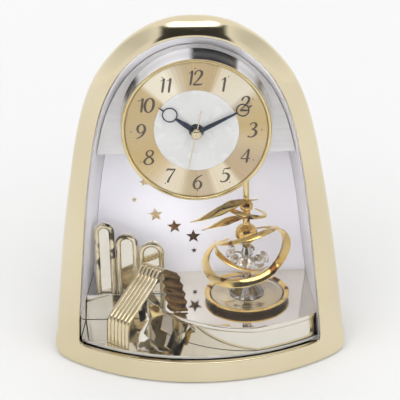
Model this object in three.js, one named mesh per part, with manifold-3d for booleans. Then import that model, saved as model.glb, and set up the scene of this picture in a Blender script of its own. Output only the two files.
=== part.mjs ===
// Mantel clock with a rotating ornament. Units mm, +Z up, the dial faces -Y, the feet rest on z = 0.
import * as THREE from 'three';
import { mergeVertices } from 'three/addons/utils/BufferGeometryUtils.js';
import Module from 'manifold-3d';

const wasm = await Module();
wasm.setup();

// ---- driving dimensions -------------------------------------------------------------------
const FOOT_H = 0.8;            // the feet lift the case by this much
const BOW_R = 138;             // plan radius of the bowed front, at the inner lip of the frame
const BOW_Y = 90.4;            // y of the axis of that bow
const LINER_BACK_Y = 47.6;     // back end of the inner liner
const CASE_BACK_Y = 52.4;      // back face of the case
const LINER_KX = 0.935;        // width of the liner at its back, over its front
const LINER_KZ = 0.80;         // height of the liner at its back, over its front
const FLOOR_Z = 17;            // lower mirror floor
const STAGE_Z = 34.5;          // upper mirror stage
const STAGE_C = [34.4, 39.5];  // centre of the round front of the stage
const STAGE_R = 77;
const ARCADE_Y = 9;            // front of the block the arches stand on
const PLATE_Y = -12;           // front of the movement housing
const HOUSING_Z = 149;         // underside of the movement housing
const DIAL = [0.8, 171.4];     // x, z of the dial centre
const DIAL_Y = -30;            // front of the dial plate
const DIAL_R = 44.6;
const AXIS = [32.6, 6];        // x, y of the ornament's spindle
const ORNAMENT_R = 38.2;       // nothing on the spindle reaches further out than this
const MOVE_Y = -9.6;           // front of the quartz movement

// half widths of the frame, bottom to top: [half width, z]
const OUTER = [
  [99, 9], [97.6, 18], [95.9, 33], [93.9, 50.5], [91.4, 70.4], [88.6, 91.2], [85.6, 111], [82.3, 130.5],
  [78.4, 152], [74.2, 172], [69, 190], [62.6, 205.4], [55.1, 217.4], [45.9, 229], [35.4, 238.2],
  [24.4, 244.9], [12.4, 248.9], [0, 250],
];
const INNER = [
  [80.8, 18.4], [79.9, 33], [78.4, 50], [76.3, 70.4], [74.3, 90.6], [72.3, 110], [69.8, 130.2],
  [66.4, 151.6], [62.4, 172.6], [57.2, 191.0], [50.4, 205.8], [42.2, 218.0], [33.6, 226.6], [24.6, 233.0],
  [16.2, 236.7], [8.2, 238.7], [0, 239.3],
];

// ---- materials ----------------------------------------------------------------------------
function material(color, metalness, roughness, opacity = 1) {
  return new THREE.MeshStandardMaterial({
    color,
    metalness,
    roughness,
    opacity,
    transparent: opacity < 1,
  });
}
const M = {
  champagne: material(0xd4c49c, 1, 0.18),
  gold: material(0xd9a441, 1, 0.12),
  darkGold: material(0x6b5230, 1, 0.2),
  chrome: material(0xd8dade, 1, 0.06),
  mirror: material(0xe6e8ea, 1, 0.03),
  pearl: material(0xdcdce4, 0, 0.4),
  silver: material(0xb9bbc2, 0.6, 0.35),
  glass: material(0xf4f8fa, 0, 0.03, 0.25),
  crystal: material(0xeef2f6, 0, 0.02, 0.5),
  white: material(0xeeeeea, 0, 0.5),
  ink: material(0x23262e, 0.3, 0.4),
  black: material(0x1b1b1d, 0, 0.6),
  brass: material(0xb08d3e, 1, 0.35),
  copper: material(0xb5642e, 1, 0.4),
  green: material(0x1f5a38, 0, 0.6),
  rubber: material(0x222222, 0, 0.9),
  cell: material(0x3f5f8a, 0.4, 0.4),
};

const group = new THREE.Group();
group.name = 'mantel_clock';

// ---- geometry helpers ---------------------------------------------------------------------
function bare(geometry) {
  const g = geometry.clone();
  g.deleteAttribute('normal');
  g.deleteAttribute('uv');
  return mergeVertices(g, 1e-4);
}

function solid(geometry) {
  const g = bare(geometry);
  return new wasm.Manifold(new wasm.Mesh({
    numProp: 3,
    vertProperties: new Float32Array(g.attributes.position.array),
    triVerts: new Uint32Array(g.index.array),
  }));
}

function toGeometry(m) {
  const mesh = m.getMesh();
  const g = new THREE.BufferGeometry();
  const step = mesh.numProp;
  const xyz = new Float32Array((mesh.vertProperties.length / step) * 3);
  for (let i = 0; i < xyz.length / 3; i += 1) {
    xyz[3 * i] = mesh.vertProperties[step * i];
    xyz[3 * i + 1] = mesh.vertProperties[step * i + 1];
    xyz[3 * i + 2] = mesh.vertProperties[step * i + 2];
  }
  g.setAttribute('position', new THREE.BufferAttribute(xyz, 3));
  g.setIndex(new THREE.BufferAttribute(new Uint32Array(mesh.triVerts), 1));
  return g;
}

function add(name, shape, mat) {
  const source = shape instanceof THREE.BufferGeometry ? bare(shape) : toGeometry(shape);
  const geometry = source.toNonIndexed();
  geometry.computeVertexNormals();
  const mesh = new THREE.Mesh(geometry, mat);
  mesh.name = name;
  group.add(mesh);
  return mesh;
}

// A closed body through rows of points; each row is a closed polygon with the same count.
function loft(rows, ring = false) {
  const n = rows[0].length;
  const pts = [];
  const tris = [];
  rows.forEach((row) => row.forEach((p) => pts.push(...p)));
  const spans = ring ? rows.length : rows.length - 1;
  for (let i = 0; i < spans; i += 1) {
    const a = i * n;
    const b = ((i + 1) % rows.length) * n;
    for (let j = 0; j < n; j += 1) {
      const k = (j + 1) % n;
      tris.push(a + j, a + k, b + k, a + j, b + k, b + j);
    }
  }
  if (!ring) {
    [0, rows.length - 1].forEach((end) => {
      const mid = [0, 1, 2].map((c) => rows[end].reduce((s, p) => s + p[c], 0) / n);
      const centre = pts.length / 3;
      pts.push(...mid);
      for (let j = 0; j < n; j += 1) {
        const k = (j + 1) % n;
        if (end === 0) {
          tris.push(end * n + k, end * n + j, centre);
        } else {
          tris.push(end * n + j, end * n + k, centre);
        }
      }
    });
  }
  const at = (i) => new THREE.Vector3(pts[3 * i], pts[3 * i + 1], pts[3 * i + 2]);
  let volume = 0;
  for (let i = 0; i < tris.length; i += 3) {
    volume += at(tris[i]).dot(at(tris[i + 1]).cross(at(tris[i + 2])));
  }
  if (volume < 0) {
    for (let i = 0; i < tris.length; i += 3) {
      [tris[i], tris[i + 1]] = [tris[i + 1], tris[i]];
    }
  }
  const g = new THREE.BufferGeometry();
  g.setAttribute('position', new THREE.Float32BufferAttribute(pts, 3));
  g.setIndex(tris);
  return g;
}

function box(x0, x1, y0, y1, z0, z1) {
  const g = new THREE.BoxGeometry(x1 - x0, y1 - y0, z1 - z0);
  g.translate((x0 + x1) / 2, (y0 + y1) / 2, (z0 + z1) / 2);
  return solid(g);
}

// outline of [x, z] pairs pushed along Y
function prismY(outline, y0, y1, holes = []) {
  const shape = new THREE.Shape(outline.map(([x, z]) => new THREE.Vector2(x, z)));
  holes.forEach((h) => shape.holes.push(new THREE.Path(h.map(([x, z]) => new THREE.Vector2(x, z)))));
  const g = new THREE.ExtrudeGeometry(shape, { depth: y1 - y0, bevelEnabled: false, steps: 1 });
  g.rotateX(Math.PI / 2);
  g.translate(0, y1, 0);
  return solid(g);
}

// outline of [x, y] pairs pushed along Z
function prismZ(outline, z0, z1) {
  const shape = new THREE.Shape(outline.map(([x, y]) => new THREE.Vector2(x, y)));
  const g = new THREE.ExtrudeGeometry(shape, { depth: z1 - z0, bevelEnabled: false, steps: 1 });
  g.translate(0, 0, z0);
  return solid(g);
}

// profile of [r, z] pairs turned about a vertical axis
function turnZ(profile, x, y, segments = 32) {
  const g = new THREE.LatheGeometry(profile.map(([r, z]) => new THREE.Vector2(r, z)), segments);
  g.rotateX(Math.PI / 2);
  g.translate(x, y, 0);
  return solid(g);
}

// profile of [r, y] pairs turned about an axis along Y
function turnY(profile, x, z, segments = 32) {
  const g = new THREE.LatheGeometry(profile.map(([r, y]) => new THREE.Vector2(r, y)), segments);
  g.translate(x, 0, z);
  return solid(g);
}

function rodZ(r, z0, z1, x, y, segments = 24) {
  return turnZ([[0, z0], [r, z0], [r, z1], [0, z1]], x, y, segments);
}

function rodY(r, y0, y1, x, z, segments = 24) {
  return turnY([[0, y0], [r, y0], [r, y1], [0, y1]], x, z, segments);
}

function tubeY(ri, ro, y0, y1, x, z, segments = 32) {
  return turnY([[ri, y0], [ro, y0], [ro, y1], [ri, y1], [ri, y0]], x, z, segments);
}

const union = (...parts) => parts.reduce((a, b) => a.add(b));
const bowY = (x) => BOW_Y - Math.sqrt(BOW_R * BOW_R - x * x);
const bowColumn = (r) => rodZ(r, -5, 260, 0, BOW_Y, 96);

// resample a half profile with a smooth curve
function smooth(profile, count) {
  const curve = new THREE.CatmullRomCurve3(profile.map(([x, z]) => new THREE.Vector3(x, 0, z)), false, 'centripetal');
  return curve.getPoints(count).map((p) => [p.x, p.z]);
}

// closed arch: right side up, over the top, left side down
function arch(half, grow, zBottom) {
  const pts = [];
  const n = half.length;
  half.forEach(([x, z], i) => {
    const a = half[Math.max(i - 1, 0)];
    const b = half[Math.min(i + 1, n - 1)];
    const t = Math.hypot(b[0] - a[0], b[1] - a[1]);
    const nx = i === n - 1 ? 0 : (b[1] - a[1]) / t;
    const nz = i === n - 1 ? 1 : -(b[0] - a[0]) / t;
    pts.push([Math.max(x + grow * nx, 0), z + grow * nz]);
  });
  const right = [[pts[0][0], zBottom], ...pts];
  const left = right.slice(0, -1).reverse().map(([x, z]) => [-x, z]);
  return [...right, ...left];
}

function archLoft(outline, y0, y1, kx, kz, zFixed) {
  const front = outline.map(([x, z]) => [x, y0, z]);
  const back = outline.map(([x, z]) => [x * kx, y1, zFixed + (z - zFixed) * kz]);
  return solid(loft([front, back]));
}

const HALF_IN = smooth(INNER, 18);
const HALF_OUT = smooth(OUTER, 18);
const LINER_FRONT_Y = -50;
const linerBody = (grow) => archLoft(
  arch(HALF_IN, grow, 14.6 - grow),
  LINER_FRONT_Y,
  LINER_BACK_Y,
  LINER_KX,
  LINER_KZ,
  14.6,
);
const inside = linerBody(1.1);

// ---- front frame: a closed ring of rounded sections ---------------------------------------
function frameRing() {
  const arcOut = [[98.5, 4.9], [96.2, 2.0], [91.5, FOOT_H]];
  const arcIn = [[80.4, 16.9], [79.4, 15.9], [77.8, 15.5]];
  const inner = [...HALF_IN].map((p) => [...p]);
  const outer = [...HALF_OUT].map((p) => [...p]);
  const loopIn = [];
  const loopOut = [];
  for (let i = 0; i < inner.length; i += 1) {
    loopIn.push(inner[i]);
    loopOut.push(outer[i]);
  }
  for (let i = inner.length - 2; i >= 0; i -= 1) {
    loopIn.push([-inner[i][0], inner[i][1]]);
    loopOut.push([-outer[i][0], outer[i][1]]);
  }
  arcIn.forEach((p, i) => {
    loopIn.push([-p[0], p[1]]);
    loopOut.push([-arcOut[i][0], arcOut[i][1]]);
  });
  const steps = 12;
  for (let i = 1; i < steps; i += 1) {
    const t = 1 - (2 * i) / steps;
    loopIn.push([-77.8 * t, 15.5]);
    loopOut.push([-91.5 * t, FOOT_H]);
  }
  [...arcIn].reverse().forEach((p, i) => {
    loopIn.push([p[0], p[1]]);
    loopOut.push([arcOut[2 - i][0], arcOut[2 - i][1]]);
  });
  const side = [
    [0, -1.2], [0, 3.9], [0.015, 4.45], [0.06, 4.8], [0.3, 4.0], [0.45, 3.1], [0.6, 2.0], [0.74, 0.7],
    [0.86, -0.7], [0.95, -2.3], [1, -4.4], [0.985, -7], [0.93, -9], [0.42, -9], [0.42, -1.2],
  ];
  const base = [
    [0, -1.2], [0, 1.4], [0.02, 1.9], [0.06, 2.2], [0.3, 2.7], [0.45, 3.0], [0.6, 3.3], [0.74, 3.6],
    [0.86, 3.7], [0.95, 3.1], [1, 1.2], [1, -5], [0.93, -9], [0.42, -9], [0.42, -1.2],
  ];
  const rows = loopIn.map(([xi, zi], i) => {
    const [xo, zo] = loopOut[i];
    const near = Math.min(Math.max((30 - zo) / 22, 0), 1);
    const b = near * near * (3 - 2 * near);
    return side.map(([u0, w0], k) => {
      const u = u0 * (1 - b) + base[k][0] * b;
      const w = w0 * (1 - b) + base[k][1] * b;
      const x = xi + (xo - xi) * u;
      return [x, bowY(x) - w, zi + (zo - zi) * u];
    });
  });
  return loft(rows, true);
}
add('front_frame', frameRing(), M.champagne);

// ---- curved window in the rebate of the frame ---------------------------------------------
{
  const pane = prismY(arch(HALF_IN, 3.4, 11.2), -60, 20);
  const ring = bowColumn(BOW_R - 1.8).subtract(bowColumn(BOW_R - 3.4));
  add('front_window', pane.intersect(ring), M.glass);
}

// ---- outer shell, liner, walls and floors -------------------------------------------------
const SHELL_FRONT_Y = -38.5;
const shellBody = (grow) => archLoft(
  arch(HALF_OUT, -4.4 + grow, FOOT_H - grow),
  SHELL_FRONT_Y,
  CASE_BACK_Y,
  0.93,
  0.80,
  FOOT_H,
);
const behindFrame = bowColumn(BOW_R - 9.3).intersect(box(-120, 120, -60, CASE_BACK_Y, -5, 260));
{
  const bottomCut = box(-120, 120, -60, CASE_BACK_Y + 5, -5, 4.8).intersect(
    union(shellBody(-2.4), shellBody(-2.4).translate([0, 0, -4])),
  );
  const shell = shellBody(0).subtract(shellBody(-2.4)).subtract(bottomCut).intersect(behindFrame);
  add('case_shell', shell, M.champagne);

  const liner = linerBody(2.4).subtract(linerBody(1.3))
    .intersect(bowColumn(BOW_R - 3.7))
    .intersect(box(-120, 120, -60, LINER_BACK_Y - 0.1, -5, 260));
  const frameZone = prismY(arch(HALF_OUT, 2, -2), -70, 60)
    .intersect(bowColumn(BOW_R + 8).subtract(bowColumn(BOW_R - 9.3)));
  const clear = prismY(arch(HALF_IN, 3.3, 11.4), -70, 60);
  add('side_liner', liner.subtract(frameZone.subtract(clear)), M.pearl);

  const wall = inside.intersect(box(-90, 90, 46, 47.4, FLOOR_Z + 0.3, HOUSING_Z - 0.4));
  add('back_wall', wall, M.pearl);

  const floor = inside.intersect(bowColumn(BOW_R - 4.1)).intersect(box(-90, 90, -60, 47.4, 14.9, FLOOR_Z));
  add('lower_floor', floor, M.mirror);
}

// ---- base plate, feet, rear cover ---------------------------------------------------------
{
  const cavity = shellBody(-2.8).intersect(bowColumn(BOW_R - 9.6));
  const footSpots = [[-62, -8], [62, -8], [-62, 38], [62, 38]];
  add('base_plate', cavity.translate([0, 0, -2]).intersect(box(-110, 110, -60, 49.2, 2.0, 4.4)), M.black);
  footSpots.forEach(([x, y], i) => {
    const foot = turnZ([[0, 0], [5.6, 0], [6, 0.4], [6, 1.8], [0, 1.8]], x, y, 20);
    add(`foot_${i + 1}`, foot, M.rubber);
  });
}

// section swept along an arc about a vertical axis
function arcSweep(centre, section, a0, a1, steps) {
  const rows = [];
  for (let i = 0; i <= steps; i += 1) {
    const a = a0 + ((a1 - a0) * i) / steps;
    rows.push(section.map(([r, z]) => [centre[0] + r * Math.cos(a), centre[1] + r * Math.sin(a), z]));
  }
  return loft(rows);
}

// ---- mirror stage with its rounded front, and the block under the arches -------------------
const stageDisc = (shrink, z0, z1) => rodZ(STAGE_R - shrink, z0, z1, STAGE_C[0], STAGE_C[1], 84)
  .intersect(box(-90, 90, -60, 45.7 - shrink, z0 - 1, z1 + 1));
const arcadeZone = (grow, z0, z1) => box(-90, -22.5 + grow, ARCADE_Y - grow, 60, z0, z1);
{
  const room = linerBody(0.9).intersect(bowColumn(BOW_R - 4.3));
  const innerRoom = linerBody(-1.4).intersect(bowColumn(BOW_R - 6.6));
  const spindleHole = rodZ(2.6, 10, 40, AXIS[0], AXIS[1], 24);
  const stage = stageDisc(0, FLOOR_Z + 0.3, STAGE_Z)
    .subtract(arcadeZone(0.3, 0, 60))
    .intersect(room)
    .subtract(stageDisc(2.2, 10, STAGE_Z - 2.2).subtract(arcadeZone(2.5, 0, 60)).intersect(innerRoom))
    .subtract(spindleHole);
  const edge = STAGE_R - 0.2;
  const bead = [[edge, 31.2], [edge + 1.0, 31.3], [edge + 1.5, 32.2], [edge + 1.5, 34.0], [edge + 1.0, 34.8],
    [edge, 34.8]];
  const deg = Math.PI / 180;
  const trim = solid(arcSweep(STAGE_C, bead, -153.5 * deg, -56 * deg, 28)).intersect(room);
  add('stage', union(stage, trim), M.mirror);

  const block = arcadeZone(0, FLOOR_Z + 0.3, STAGE_Z)
    .intersect(box(-90, 0, -60, 45.7, 0, 60))
    .intersect(room);
  const hollow = box(-90, -24.7, ARCADE_Y + 2.2, 43.5, 10, STAGE_Z - 2.2).intersect(innerRoom);
  const rail = box(-90, -36.6, ARCADE_Y - 0.2, ARCADE_Y + 1.6, STAGE_Z - 1, STAGE_Z + 1.5).intersect(room);
  add('arcade_base', union(block.subtract(hollow), rail), M.chrome);
}

// ---- foil stars on the back wall ----------------------------------------------------------
function star(x, z, r, turn = 0) {
  const pts = [];
  for (let i = 0; i < 10; i += 1) {
    const a = Math.PI / 2 + turn + (i * Math.PI) / 5;
    const q = i % 2 ? r * 0.42 : r;
    pts.push([x + q * Math.cos(a), z + q * Math.sin(a)]);
  }
  return prismY(pts, 45.6, 45.95);
}
[
  [-3.7, 62.1, 5.4, 0], [-3.4, 51.1, 2.2, 0], [-16.8, 69.9, 5.4, 0.06], [-29.7, 79.2, 5.4, 0.1],
  [-36.9, 104.2, 3.6, 0.2], [-44.4, 91.0, 2.2, 0.1],
].forEach(([x, z, r, turn], i) => add(`star_${i + 1}`, star(x, z, r, turn), M.darkGold));

// ---- movement housing behind the dial -----------------------------------------------------
{
  const room = linerBody(0.9);
  const face = room.intersect(box(-90, 90, PLATE_Y, PLATE_Y + 2.2, HOUSING_Z, 240));
  const sill = room.intersect(box(-90, 90, PLATE_Y, 45.6, HOUSING_Z, HOUSING_Z + 2.2));
  const arborHole = rodY(5, -20, 0, DIAL[0], DIAL[1], 32);
  const rodHole = rodZ(3.6, 140, 160, AXIS[0], AXIS[1], 24);
  const bush = turnZ(
    [[2.4, 146.4], [5.2, 146.4], [5.2, 150], [2.4, 150], [2.4, 146.4]],
    AXIS[0],
    AXIS[1],
    28,
  );
  add('movement_housing', union(face, sill).subtract(arborHole).subtract(rodHole).add(bush), M.silver);
}

// ---- dial ---------------------------------------------------------------------------------
{
  const [cx, cz] = DIAL;
  const drum = turnY(
    [[44.9, -28.4], [45.6, -28.4], [46.2, -27.4], [46.6, -25], [46.8, -20], [47.2, -15], [48.4, -12.4],
      [48.4, -12.2], [44.9, -12.2], [44.9, -28.4]],
    cx,
    cz,
    48,
  );
  add('dial_drum', drum, M.chrome);
  const bezel = turnY(
    [[44.9, -28.7], [44.9, -30.4], [45.3, -31.4], [46.2, -31.9], [47.0, -31.3], [47.1, -30], [46.5, -28.7],
      [44.9, -28.7]],
    cx,
    cz,
    48,
  );
  add('dial_bezel', bezel, M.gold);
  const plate = tubeY(4.7, DIAL_R, DIAL_Y, DIAL_Y + 1.2, cx, cz, 48);
  const centre = tubeY(4.7, 26.8, DIAL_Y - 0.4, DIAL_Y + 0.2, cx, cz, 48);
  add('dial_plate', union(plate, centre), M.gold);
}

// ---- hands, drawn at ten past ten ---------------------------------------------------------
const HOUR_ANGLE = 305.3;
const MINUTE_ANGLE = 63.2;
const SECOND_ANGLE = 193;

// a hand drawn upwards from the dial centre, then turned clockwise
function placeHand(m, degrees) {
  return m.rotate([0, degrees, 0]).translate([DIAL[0], 0, DIAL[1]]);
}

function circle(r, x, z, n = 20) {
  const pts = [];
  for (let i = 0; i < n; i += 1) {
    const a = (2 * Math.PI * i) / n;
    pts.push([x + r * Math.cos(a), z + r * Math.sin(a)]);
  }
  return pts;
}

function breguetHand(length, ringAt, ringR, rootW, neckW, bore, hubR, y0, y1) {
  const shank = prismY(
    [[-rootW, 0], [-rootW * 0.95, ringAt * 0.35], [-neckW, ringAt - ringR * 0.6], [neckW, ringAt - ringR * 0.6],
      [rootW * 0.95, ringAt * 0.35], [rootW, 0]],
    y0,
    y1,
  );
  const ring = prismY(circle(ringR, 0, ringAt), y0, y1);
  const eye = prismY(circle(ringR - 0.75, 0, ringAt), y0 - 1, y1 + 1);
  const tip = prismY(
    [[-0.45, ringAt + ringR - 0.6], [-0.16, length], [0.16, length], [0.45, ringAt + ringR - 0.6]].reverse(),
    y0,
    y1,
  );
  const hub = prismY(circle(hubR, 0, 0), y0, y1);
  const hole = prismY(circle(bore, 0, 0), y0 - 1, y1 + 1);
  return union(shank, ring).subtract(eye).add(tip).add(hub).subtract(hole);
}
{
  const hour = breguetHand(28.6, 20, 4.9, 1.75, 0.75, 2.95, 3.9, -32.6, -32.0);
  const minute = breguetHand(39, 32.4, 4.2, 1.35, 0.6, 1.95, 3.3, -34.2, -33.6);
  add('hour_hand', placeHand(hour, HOUR_ANGLE), M.ink);
  add('minute_hand', placeHand(minute, MINUTE_ANGLE), M.ink);
  const needle = prismY([[-0.32, -15.8], [0.32, -15.8], [0.3, 10], [0.12, 33.4], [-0.12, 33.4], [-0.3, 10]], -35.6, -35.2);
  const boss = prismY(circle(1.6, 0, 0, 20), -35.6, -35.2);
  const bore = prismY(circle(0.9, 0, 0, 20), -37, -34);
  const cap = turnY(
    [[0, -38.6], [1.9, -38.5], [2.8, -38.1], [3.3, -37.3], [3.3, -35.5], [1.1, -35.5], [1.1, -37.0], [0, -37.0]],
    DIAL[0],
    DIAL[1],
    24,
  );
  add('second_hand', union(placeHand(needle.add(boss).subtract(bore), SECOND_ANGLE), cap), M.gold);
}

// ---- quartz movement ----------------------------------------------------------------------
function wheel(teeth, root, tip, bore, y0, y1, x, z) {
  const pts = [];
  for (let i = 0; i < teeth; i += 1) {
    const a = (2 * Math.PI * i) / teeth;
    const s = (2 * Math.PI) / teeth;
    [[root, 0], [tip, 0.2], [tip, 0.45], [root, 0.65]].forEach(([r, f]) => {
      pts.push([x + r * Math.cos(a + f * s), z + r * Math.sin(a + f * s)]);
    });
  }
  return prismY(pts, y0, y1, [circle(bore, x, z, 12).reverse()]);
}
const KNOB_AT = [DIAL[0] + 15, DIAL[1] + 4.1];
{
  const [cx, cz] = DIAL;
  const tray = box(cx - 28, cx + 28, MOVE_Y, 3.6, cz - 19.8, cz + 28)
    .subtract(box(cx - 26.2, cx + 26.2, MOVE_Y + 1.6, 5, cz - 18.2, cz + 26.2));
  const collar = tubeY(3.1, 4.4, -29.2, -8.4, cx, cz, 28);
  add('movement_tray', union(tray, collar).subtract(rodY(3.1, -31, 0, cx, cz, 28)), M.black);

  const lid = box(cx - 28, cx + 28, 3.9, 5.5, cz - 19.8, cz + 28);
  const trough = box(cx - 28, cx + 28, 5, 20, cz - 19.8, cz - 2.4)
    .subtract(box(cx - 26.2, cx + 26.2, 5.5, 21, cz - 18.3, cz - 3.9));
  const knobHole = rodY(2.1, 0, 8, KNOB_AT[0], KNOB_AT[1], 20);
  add('movement_cover', union(lid, trough).subtract(knobHole), M.black);

  add('battery', turnZ([[0, -25.2], [6.9, -25.2], [6.9, 23.4], [2.7, 23.4], [2.7, 24.9], [0, 24.9]], 0, 0, 28)
    .rotate([0, 90, 0])
    .translate([cx, 13, cz - 11.1]), M.cell);

  const hourPipe = tubeY(2.1, 2.75, -32.75, -4.4, cx, cz, 24);
  add('hour_wheel', union(hourPipe, wheel(20, 9.0, 10.0, 2.4, -5.8, -4.4, cx, cz)), M.brass);
  const minutePipe = tubeY(1.15, 1.8, -34.4, -1.6, cx, cz, 24);
  add('centre_wheel', union(minutePipe, wheel(24, 11.0, 12.0, 1.5, -3.0, -1.6, cx, cz)), M.brass);
  const secondPin = rodY(0.8, -36.7, 1.6, cx, cz, 16);
  add('second_wheel', union(secondPin, wheel(18, 8.0, 9.0, 0.6, 0.2, 1.4, cx, cz)), M.brass);
  const board = box(cx - 25.6, cx + 20, -7.4, -6.2, cz + 14.8, cz + 25.6);
  const coil = rodY(3.6, -9, 9, 0, 0, 24).rotate([0, 0, 90]).translate([cx - 1, -3.0, cz + 20.4]);
  const ends = box(cx - 12, cx - 9.4, -6.8, 0.6, cz + 16.6, cz + 24.2)
    .add(box(cx + 7.4, cx + 10, -6.8, 0.6, cz + 16.6, cz + 24.2));
  add('circuit_and_coil', union(board, coil, ends), M.green);

  const knob = turnY(
    [[0, -1.2], [1.7, -1.2], [1.7, 7.2], [5.4, 7.2], [5.9, 7.8], [5.9, 12.4], [5.3, 13], [0, 13]],
    KNOB_AT[0],
    KNOB_AT[1],
    30,
  );
  add('set_knob', knob, M.black);
}

// ---- rear cover, hinged access door and pendulum switch -----------------------------------
const DOOR = { x0: -33, x1: 35, z0: 150.5, z1: 181.5, y: 51.1 };
const SWITCH_AT = [-40, 22];
{
  const slab = shellBody(-2.75).intersect(box(-110, 110, 49.8, 52.1, -5, 260));
  const doorHole = box(DOOR.x0 - 0.4, DOOR.x1 + 0.4, 40, 60, DOOR.z0 - 0.4, DOOR.z1 + 0.4);
  const slot = box(SWITCH_AT[0] - 6, SWITCH_AT[0] + 6, 40, 60, SWITCH_AT[1] - 2.2, SWITCH_AT[1] + 2.2);
  let cover = slab.subtract(doorHole).subtract(slot);
  for (let i = 0; i < 5; i += 1) {
    const z = 58 + i * 9;
    cover = cover.subtract(box(-24, 24, 40, 60, z - 1.4, z + 1.4));
  }
  add('rear_cover', cover, M.champagne);

  const leaf = box(DOOR.x0 + 1.0, DOOR.x1, 50.1, 52.1, DOOR.z0, DOOR.z1);
  const roll = rodZ(1, DOOR.z0, DOOR.z1, DOOR.x0 + 1, DOOR.y, 20);
  const grip = box(DOOR.x1 - 9, DOOR.x1 - 7, 51, 53.2, 158, 174);
  const dish = box(DOOR.x1 - 7, DOOR.x1 - 3.6, 51.3, 53, 156, 176);
  add('access_door', union(leaf, roll, grip.intersect(box(0, 60, 0, 52.3, 0, 300))).subtract(dish), M.champagne);

  const stem = box(SWITCH_AT[0] - 5.6, SWITCH_AT[0] - 0.8, 48.4, 52.2, SWITCH_AT[1] - 1.8, SWITCH_AT[1] + 1.8);
  const skirt = box(SWITCH_AT[0] - 9.6, SWITCH_AT[0] + 3.2, 48.2, 49.5, SWITCH_AT[1] - 3.4, SWITCH_AT[1] + 3.4);
  add('pendulum_switch', union(stem, skirt), M.black);
}

// ---- pendulum drive under the stage -------------------------------------------------------
{
  const [ax, ay] = AXIS;
  const motor = turnZ(
    [[0, 17.4], [17, 17.4], [17, 29], [16.4, 29.6], [9, 29.6], [9, 31.4], [2.2, 31.4], [2.2, 21], [0, 21]],
    ax,
    ay,
    28,
  );
  add('pendulum_motor', motor, M.black);
}

// ---- arches on the left: tube hoops with a mirror panel ------------------------------------
function hoop(x0, x1, top, y, depth) {
  const rt = 1.9;
  const mid = (x0 + x1) / 2;
  const rBend = (x1 - x0) / 2 - rt;
  const zBend = top - rt - rBend;
  const z0 = STAGE_Z + 0.2;
  const path = [[x0 + rt, z0], [x0 + rt, zBend]];
  for (let i = 1; i < 8; i += 1) {
    const a = Math.PI - (i * Math.PI) / 8;
    path.push([mid + rBend * Math.cos(a), zBend + rBend * Math.sin(a)]);
  }
  path.push([x1 - rt, zBend], [x1 - rt, z0]);
  const n = path.length;
  const rows = path.map(([px, pz], i) => {
    const a = path[Math.max(i - 1, 0)];
    const b = path[Math.min(i + 1, n - 1)];
    let dir = Math.atan2(b[1] - a[1], b[0] - a[0]);
    if (i <= 1) {
      dir = Math.PI / 2;
    }
    if (i >= n - 2) {
      dir = -Math.PI / 2;
    }
    const row = [];
    for (let k = 0; k < 8; k += 1) {
      const t = (2 * Math.PI * k) / 8;
      const off = rt * Math.cos(t);
      row.push([px - off * Math.sin(dir), y + rt + rt * Math.sin(t), pz + off * Math.cos(dir)]);
    }
    return row;
  });
  const panelShape = [[x0 + rt, z0]];
  path.slice(1, -1).forEach(([px, pz]) => panelShape.push([px, pz]));
  panelShape.push([x1 - rt, z0]);
  const panel = prismY(panelShape.reverse(), y + rt - 0.6, y + depth);
  return union(solid(loft(rows)), panel);
}
add('arch_1', hoop(-70.9, -56.9, 88.6, 11.2, 9), M.chrome);
add('arch_2', hoop(-56.4, -41.2, 80.2, 11.2, 9), M.chrome);
add('arch_3', hoop(-40.8, -23.4, 74.0, 11.2, 9), M.chrome);

// ---- folded ribbons in front of the arches ------------------------------------------------
// side view of the strap: [distance along the floor, z], walked from the floor to its tail
const STRAP_FOOT = [-55.0, -27.4];
const STRAP_DIR = [0.61, 0.79];
const STRAP_PATH = [
  [0.4, FLOOR_Z + 0.2], [0.9, 24], [1.4, 31], [2.6, 34.6], [5.6, 37], [15, 42.8], [26, 49.6], [33, 54],
  [36.2, 57.4], [38.0, 59.2], [40.0, 59.4], [41.0, 57.4],
];
{
  const ribs = 6;
  const width = 18.6;
  const across = [];
  for (let i = 0; i <= ribs * 2; i += 1) {
    const u = i / (ribs * 2);
    across.push([(u - 0.5) * width, 0.8 + 0.5 * (1 - Math.cos(2 * Math.PI * u * ribs)) / 2]);
  }
  const rows = STRAP_PATH.map(([s, z], i) => {
    const a = STRAP_PATH[Math.max(i - 1, 0)];
    const b = STRAP_PATH[Math.min(i + 1, STRAP_PATH.length - 1)];
    const t = Math.hypot(b[0] - a[0], b[1] - a[1]);
    const n = [-(b[1] - a[1]) / t, (b[0] - a[0]) / t];
    const place = (w, h) => {
      const along = s + n[0] * h;
      return [
        STRAP_FOOT[0] + STRAP_DIR[0] * along + STRAP_DIR[1] * w,
        STRAP_FOOT[1] + STRAP_DIR[1] * along - STRAP_DIR[0] * w,
        z + n[1] * h,
      ];
    };
    const topSide = across.map(([w, h]) => place(w, h));
    const under = [place(width / 2, -0.5), place(0, -0.5), place(-width / 2, -0.5)];
    return [...topSide, ...under];
  });
  const cut = box(-100, 100, -100, 100, FLOOR_Z + 0.2, 200);
  add('ribbed_strap', solid(loft(rows)).intersect(cut), M.gold);
}

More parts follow.
